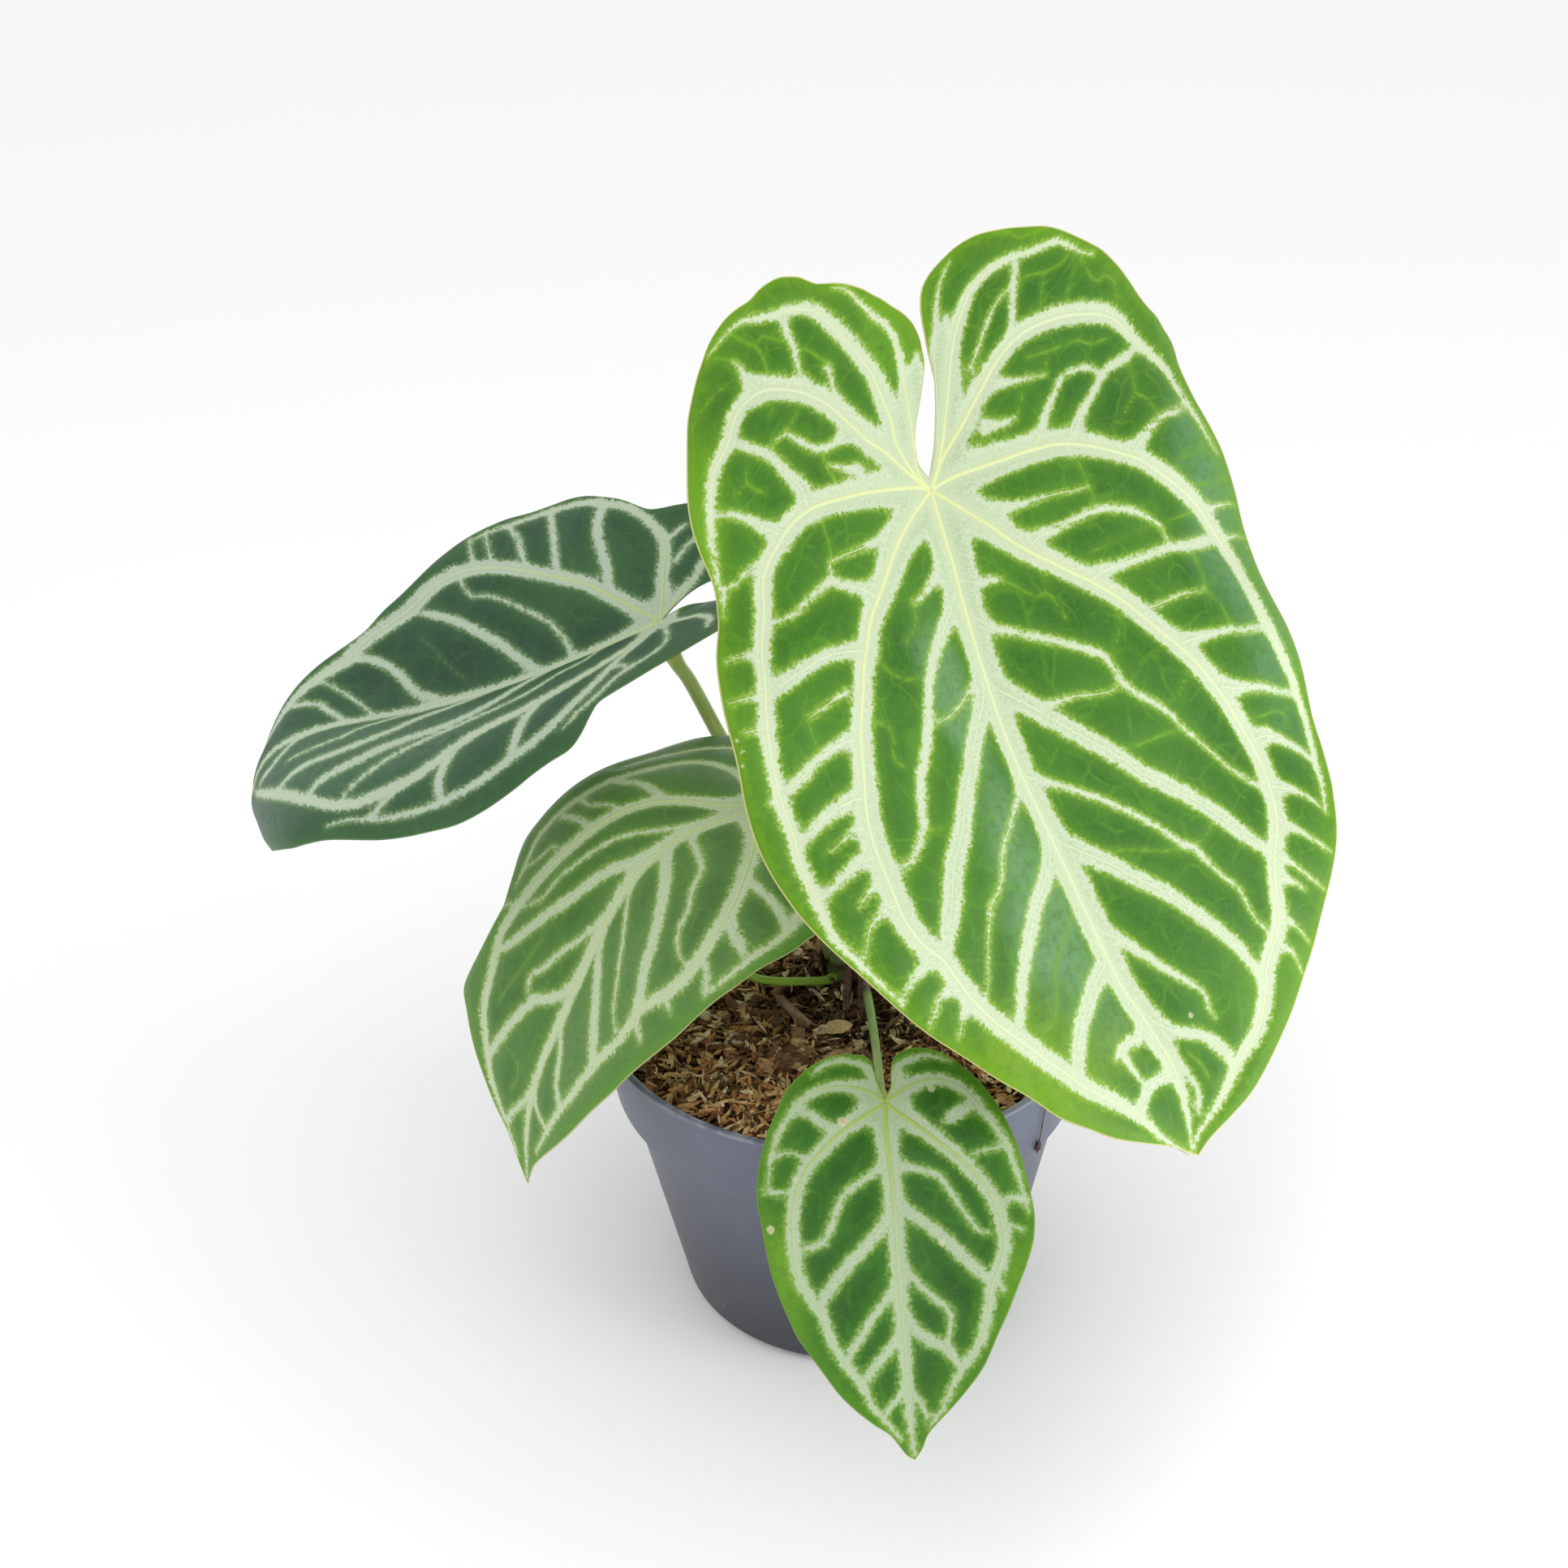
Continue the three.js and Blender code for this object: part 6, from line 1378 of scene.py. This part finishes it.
# How wide half a vein is: its share of the silver's half width, its least and its most, for
# each face, 1 on top and -1 beneath, and each kind.
RIDGE_WIDTHS = {(1, "m"): (0.25, 0.2, 0.65), (1, "s"): (0.14, 0.12, 0.24),
                (-1, "m"): (0.42, 0.25, 1.3), (-1, "s"): (0.3, 0.25, 1.3)}


def ridges(leaf, face):
    """All the veins of one face as points, faces and, for each point, its vein's kind, how far it
    is off the vein's middle and its share of the vein's length."""
    chosen, lines, halves = [], [], []
    for kind, widths, places in leaf["veins"]:
        if kind in "wy":
            continue
        line = flat_line(leaf, places)
        line = even(line, max(6, int(lengths(line)[-1] / 0.9)))
        share = np.linspace(0, 1, len(line))
        silver = np.interp(share, np.linspace(0, 1, len(widths)), widths)
        part, least, most = RIDGE_WIDTHS[face, kind]
        chosen.append(kind)
        lines.append(line)
        halves.append(np.clip(part * silver, least, most) * (1 - 0.7 * share ** 3))
    cuts = np.cumsum([len(line) for line in lines])[:-1]
    centre, normal, thick = (np.split(values, cuts) for values in sheet_at(leaf, np.vstack(lines))[:3])
    corners = len(RIDGE_SECTION)
    parts, kinds, shares = [], [], []
    for k, kind in enumerate(chosen):
        height = halves[k] * (0.32 if face > 0 else 0.8)
        rings = ridge(centre[k], normal[k], thick[k], halves[k], height, face)
        wall, *ends = tube_faces(len(rings), corners)
        parts.append((rings.reshape(-1, 3), [wall[:, ::-face], np.vstack(ends)[:, ::-face]]))
        kinds.append(np.full(len(rings) * corners, float(kind == "m")))
        shares.append(np.repeat(np.linspace(0, 1, len(rings)), corners))
    kinds = np.concatenate(kinds)
    offs = np.tile(np.abs(RIDGE_SECTION[:, 0]), len(kinds) // corners)
    return *joined(parts), {"kind": kinds, "off": offs, "share": np.concatenate(shares)}


def blade(name):
    """One leaf: its sheet, a third of a millimetre thick at most and thinner at the margin, and
    its veins above and beneath, all carried on the one bent surface."""
    leaf = LEAVES[name]
    places, quads, fans = blade_mesh(leaf)
    flat = places * [leaf["width"], leaf["length"]]
    centre, normal, thick, silver, main, fringe, margin, thread = sheet_at(leaf, flat)
    thick = thick[:, None]
    count = len(places)
    border = border_of([quads, fans])
    rim = np.stack([border[:, 1], border[:, 0], border[:, 0] + count, border[:, 1] + count], -1)
    groups = [quads, fans, quads[:, ::-1] + count, fans[:, ::-1] + count, rim]
    slot = LEAF_SLOTS[name]
    faces = np.stack([centre + normal * thick, centre - normal * thick])
    sheet = make_piece(f"leaf_blade_{name}", faces, groups, slot)
    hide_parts(f"blade_{name}")
    top_faces = len(quads) + len(fans)
    beneath = np.repeat([0, 1, 0], [top_faces, top_faces, len(rim)])
    sheet.data.polygons.foreach_set("material_index", beneath.astype(np.int32))
    spots = [np.hypot(*(flat - np.array(place) * [leaf["width"], leaf["length"]]).T) - radius
             for place, radius in leaf.get("scars", [((0, 5), 1)])]
    for key, values in dict(silver=silver, margin=margin, scar=np.min(spots, axis=0), main=main,
                            thread=thread).items():
        paint(sheet, key, np.tile(values, 2))
    for key, vectors in dict(flat=np.column_stack([flat, 0 * silver]), fringe=fringe).items():
        values = np.tile(vectors, (2, 1)).ravel().astype(np.float32)
        sheet.data.attributes.new(key, "FLOAT_VECTOR", "POINT").data.foreach_set("vector", values)
    sheet.data.materials.append(top_finish(name))
    sheet.data.materials.append(under_finish(name))
    for face, title in ((1, "leaf_veins"), (-1, "leaf_ribs")):
        points, faces, marks = ridges(leaf, face)
        veins = make_piece(f"{title}_{name}", points, faces, slot)
        for key, values in marks.items():
            paint(veins, key, values)
        veins.data.materials.append(vein_finish(name, face))


LEAF_SLOTS = {"large": "leaf_bright", "small": "leaf_bright", "middle": "leaf_muted", "dark": "leaf_muted"}
LEAF_COLOURS = {
    "large": dict(deep=(44, 94, 20), green=(62, 114, 28), glow=(94, 146, 32), silver=(202, 213, 186),
                  dim=(160, 184, 138), vein=(210, 218, 158), flank=(198, 209, 144), side=(200, 212, 176),
                  thin=(106, 154, 36), spark=(160, 190, 76), edge=(108, 156, 18), rim=(210, 202, 136),
                  under=(122, 150, 92), rib=(176, 196, 128)),
    "small": dict(deep=(28, 70, 18), green=(46, 96, 28), glow=(70, 126, 34), silver=(180, 196, 164),
                  dim=(130, 154, 112), vein=(156, 180, 82), flank=(134, 164, 72), side=(172, 190, 152),
                  thin=(80, 132, 38), spark=(146, 178, 84), edge=(84, 136, 24), rim=(116, 146, 60),
                  under=(116, 144, 88), rib=(176, 196, 116)),
    "middle": dict(deep=(60, 102, 46), green=(84, 124, 64), glow=(104, 144, 64), silver=(192, 207, 174),
                   dim=(152, 174, 132), vein=(188, 204, 132), flank=(172, 192, 118), side=(190, 204, 162),
                   thin=(104, 146, 62), spark=(156, 184, 98), edge=(96, 144, 44), rim=(176, 184, 116),
                   under=(118, 142, 98), rib=(172, 192, 128)),
    "dark": dict(deep=(34, 64, 46), green=(52, 86, 60), glow=(68, 104, 64), silver=(188, 202, 182),
                 dim=(142, 164, 138), vein=(184, 200, 136), flank=(164, 184, 122), side=(184, 198, 172),
                 thin=(80, 114, 68), spark=(138, 164, 108), edge=(64, 104, 54), rim=(110, 138, 96),
                 under=(112, 136, 98), rib=(168, 184, 124)),
}


# Patches painted on a leaf: the bluish-grey ones are painted sheen, the pale room's reflection
# seen at a glancing angle, and the others are the leaf's own yellow-green or darker or lighter
# green. Each has the colour, the middle and the reach in flat millimetres across and down,
# and the strength. Then how many millimetres the fringes of each leaf's silver stand out.
SHEEN_AND_TINT_PATCHES = {
    "large": [((112, 152, 106), (-13, 46), (8, 24), 0.7), ((112, 152, 106), (-14, 94), (13, 34), 0.7),
              ((106, 148, 108), (76, 30), (13, 62), 0.6),
              ((124, 164, 14), (-36, 126), (27, 20), 0.65), ((106, 160, 26), (-12, -36), (12, 14), 0.5),
              ((114, 164, 26), (-63, -8), (9, 18), 0.5), ((100, 154, 22), (34, 128), (22, 14), 0.4),
              ((40, 100, 34), (40, -22), (26, 22), 0.35)],
    "small": [((118, 166, 30), (-27, 46), (8, 24), 0.7), ((112, 162, 30), (25, 52), (7, 20), 0.7)],
    "middle": [((108, 142, 86), (14, 62), (14, 30), 0.5), ((96, 140, 70), (-30, 40), (16, 50), 0.35)],
    "dark": [((94, 124, 100), (16, 78), (24, 44), 0.5), ((66, 112, 52), (-20, 10), (16, 26), 0.4)],
}
FRINGES = {"large": 1.1, "small": 0.8, "middle": 1.5, "dark": 1.0}


def tints(name):
    return {key: srgb(*colour) for key, colour in LEAF_COLOURS[name].items()}


def net_edge(start, place, scale):
    """How far a place is from the nearest line of a net of cells."""
    return start.node("ShaderNodeTexVoronoi", {"feature": "DISTANCE_TO_EDGE"},
                      {"Vector": place, "Scale": scale})


def top_finish(name):
    """The upper skin: green cells between silver bands whose edges break up into fringes square
    to the vein and into grains, a pale net of small veins in the cells, patches of painted
    bluish sheen and of the leaf's own yellower or darker green, and a yellower margin with a thin cream edge."""
    tint = tints(name)
    material, shader, start = finish_of(f"leaf top {name}", {"Specular IOR Level": 0.2})
    place = attribute(start, "flat", 1)
    silver = attribute(start, "silver")
    margin = attribute(start, "margin")
    main = attribute(start, "main")
    cloud = noise(start, place, 0.045)
    patch = noise(start, place, 0.16, 2)
    fleck = noise(start, place, 0.5, 3, 0.6)
    grain = noise(start, place, 1.1, 3, 0.6)
    fine = noise(start, place, 3.2, 2, 0.6)
    fringed = attribute(start, "fringe", 1)
    along, side, half = (start.node("ShaderNodeSeparateXYZ", None, {0: fringed}, k) for k in range(3))
    comb = start.node("ShaderNodeCombineXYZ", None, {0: along * 1.5, 1: side, 2: silver * 0.8})
    fringe = noise(start, comb, 1, 3, 0.7)
    cells = cloud.step(0.3, 0.7).mix(tint["deep"], tint["green"])
    cells = (fleck.step(0.3, 0.75) * 0.35 + fine.step(0.3, 0.7) * 0.15).mix(cells, tint["green"])
    beside = silver.step(4.0, 0.2) * 0.35 + silver.step(1.4, 0.0) * fine.step(0.3, 0.7) * 0.4
    cells = beside.mix(cells, tint["glow"])
    # Bluish-grey patches are painted sheen; the others are the leaf's own colour.
    for colour, centre, (wide, tall), strength in SHEEN_AND_TINT_PATCHES[name]:
        off = place.vector("SUBTRACT", (*centre, 0)).vector("MULTIPLY", (1 / wide, 1 / tall, 0))
        off = off.vector("LENGTH", output=1)
        near = (off + (cloud - 0.5) * 1.6).step(1.15, 0.3) * (fleck.step(0.25, 0.6) * 0.6 + 0.4)
        cells = (near * strength).mix(cells, srgb(*colour))
    warp = start.node("ShaderNodeTexNoise", None, {"Vector": place, "Scale": 0.14, "Detail": 1.0}, 1)
    bent = place.vector("ADD", warp.vector("MULTIPLY", (5, 5, 0)))
    net = net_edge(start, bent, 0.12).step(0.07, 0.01) * patch.step(0.35, 0.6) * 0.32
    net = net + net_edge(start, bent, 0.42).step(0.1, 0.0) * 0.14
    cells = net.mix(cells, tint["glow"])
    thread = attribute(start, "thread") + (fleck - 0.5) * 0.9
    cells = (thread.step(2.2, 0.0) * 0.25 + thread.step(0.65, 0.1) * 0.55).mix(cells, tint["thin"])
    near_margin = margin + (fleck - 0.5) * 5
    cells = (near_margin.step(9, 1) * 0.3 + near_margin.step(3, 0.6) * 0.3).mix(cells, tint["edge"])
    reach = start.math("MINIMUM", half * 0.7 + 0.5, 1.9) * (margin.step(16, 5) * 0.5 + 0.7)
    reach = reach * (patch.step(0.3, 0.7) * 1.2 + 0.4) * FRINGES[name]
    ragged = silver + (fringe - 0.5) * reach + (fleck - 0.5) * 1.5 + (grain - 0.5) * 2.1 + (fine - 0.5) * 1.8
    cells = (ragged.step(0.8, 0.0) * 0.4).mix(cells, tint["spark"])
    band = ragged.step(0.1, -0.4)
    speckle = ragged.step(1.6, 0.3) * (1 - band) * fine.step(0.5, 0.62)
    cells = (speckle * 0.6).mix(cells, tint["spark"])
    mottle = (grain * 0.4 + fine * 0.6).step(0.32, 0.66)
    pale = (mottle * 0.75 + ragged.step(-2.5, -0.4) * 0.3).mix(tint["dim"], tint["silver"])
    pale = (main.step(3.4, 0.5) * 0.5).mix(pale, tint["side"])
    colour = band.mix(cells, pale)
    colour = (margin.step(0.35, 0.12) * 0.8).mix(colour, tint["rim"])
    scar = attribute(start, "scar") + (fine - 0.5) * 1.2 + (grain - 0.5) * 0.8
    colour = (scar.step(0.25, -0.1) * 0.6).mix(colour, srgb(206, 206, 170))
    colour = (scar.step(-0.1, -0.6) * 0.8).mix(colour, srgb(206, 156, 132))
    feed(colour, shader, "Base Color")
    feed(band * 0.08 + fine * 0.12 + 0.36, shader, "Roughness")
    height = net * 0.4 + grain * 0.5 + fine * 0.35 + band * 0.2
    bump(start, height, 0.0003, 0.45, shader)
    return material


def under_finish(name):
    """The lower skin: paler and matter, with the silver bands just showing through."""
    tint = tints(name)
    material, shader, start = finish_of(f"leaf underside {name}", {"Specular IOR Level": 0.35})
    place = attribute(start, "flat", 1)
    fleck = noise(start, place, 0.5, 3, 0.6)
    fine = noise(start, place, 3.0, 2, 0.6)
    net = net_edge(start, place, 0.3)
    base = fleck.step(0.3, 0.7).mix(tint["under"], tint["rib"])
    base = (net.step(0.08, 0.02) * 0.4).mix((fine.step(0.3, 0.7) * 0.3).mix(tint["under"], base), tint["rib"])
    through = attribute(start, "silver").step(0.8, -0.8) * 0.35
    feed(through.mix(base, tint["dim"]), shader, "Base Color")
    feed(fine * 0.15 + 0.5, shader, "Roughness")
    bump(start, net.step(0.08, 0.02) + fine * 0.5, 0.0003, 0.5, shader)
    return material


def vein_finish(name, face):
    """The veins: cream along the middle of a main vein, greener down its flanks and on the
    lesser veins, and pale green beneath."""
    tint = tints(name)
    title = "veins" if face > 0 else "ribs"
    constants = {"Specular IOR Level": 0.4, "Roughness": 0.42}
    material, shader, start = finish_of(f"leaf {title} {name}", constants)
    spots = noise(start, solid_place(start), 900, 3, 0.6)
    off = attribute(start, "off")
    kind = attribute(start, "kind")
    if face > 0:
        main = (off + (spots - 0.5) * 0.5).step(0.5, 0.95).mix(tint["vein"], tint["flank"])
        faded = (attribute(start, "share").step(0.02, 0.5) * 0.8).mix(main, tint["side"])
        colour = kind.step(0.3, 0.7).mix(tint["side"], faded)
    else:
        colour = spots.step(0.3, 0.7).mix(tint["under"], tint["rib"])
    feed(colour, shader, "Base Color")
    bump(start, spots, 0.0002, 0.3, shader)
    return material


# Small dry scars: their flat places, and how many millimetres their rims reach.
LEAVES["large"]["scars"] = [((-1.09, .262), 0.5), ((-1.1, .247), 0.4), ((-1.105, .278), 0.45),
                            ((1.35, .227), 0.6), ((.173, .815), 0.6)]
LEAVES["small"]["scars"] = [((-.341, .054), 1.0), ((-.944, .362), 0.8), ((.355, -.03), 0.7),
                            ((.31, .426), 0.6), ((-.72, .226), 0.7)]
for name in LEAF_NAMES:
    blade(name)


# The studio: a wide pale floor that fades into a white background, one large soft light
# from above on the left, a weaker one on the right and white all round.
floor = bpy.data.meshes.new("studio_floor")
floor.from_pydata([(-3, -3, 0), (3, -3, 0), (3, 3, 0), (-3, 3, 0)], [], [(0, 1, 2, 3)])
floor_piece = bpy.data.objects.new("studio_floor", floor)
bpy.context.collection.objects.link(floor_piece)
floor_finish, shader, start = finish_of("pale floor", {"Base Color": srgb(252, 252, 252), "Roughness": 0.7,
                                                       "Specular IOR Level": 0.2})
floor.materials.append(floor_finish)

bpy.context.scene.view_settings.view_transform = "Standard"
world = bpy.data.worlds.new("white room")
bpy.context.scene.world = world
world.use_nodes = True
background = world.node_tree.nodes["Background"]
background.inputs["Color"].default_value = srgb(254, 254, 255)
background.inputs["Strength"].default_value = 0.94


def soft_light(name, place, size, power, target=(0, 0, 110)):
    """A square lamp, in millimetres and watts, turned to look at the plant."""
    lamp = bpy.data.lights.new(name, "AREA")
    lamp.size = size * MM
    lamp.energy = power
    look = np.array(target, float) - place
    look /= np.linalg.norm(look)
    side = np.cross(look, [0, 0, 1])
    side /= np.linalg.norm(side)
    aim(bpy.data.objects.new(name, lamp), place, side, np.cross(side, look), look)


soft_light("key", (-300, -520, 880), 700, 1.9)
soft_light("fill", (750, -300, 500), 500, 1.2)
soft_light("side", (440, -170, 60), 260, 0.9, (30, -20, 50))
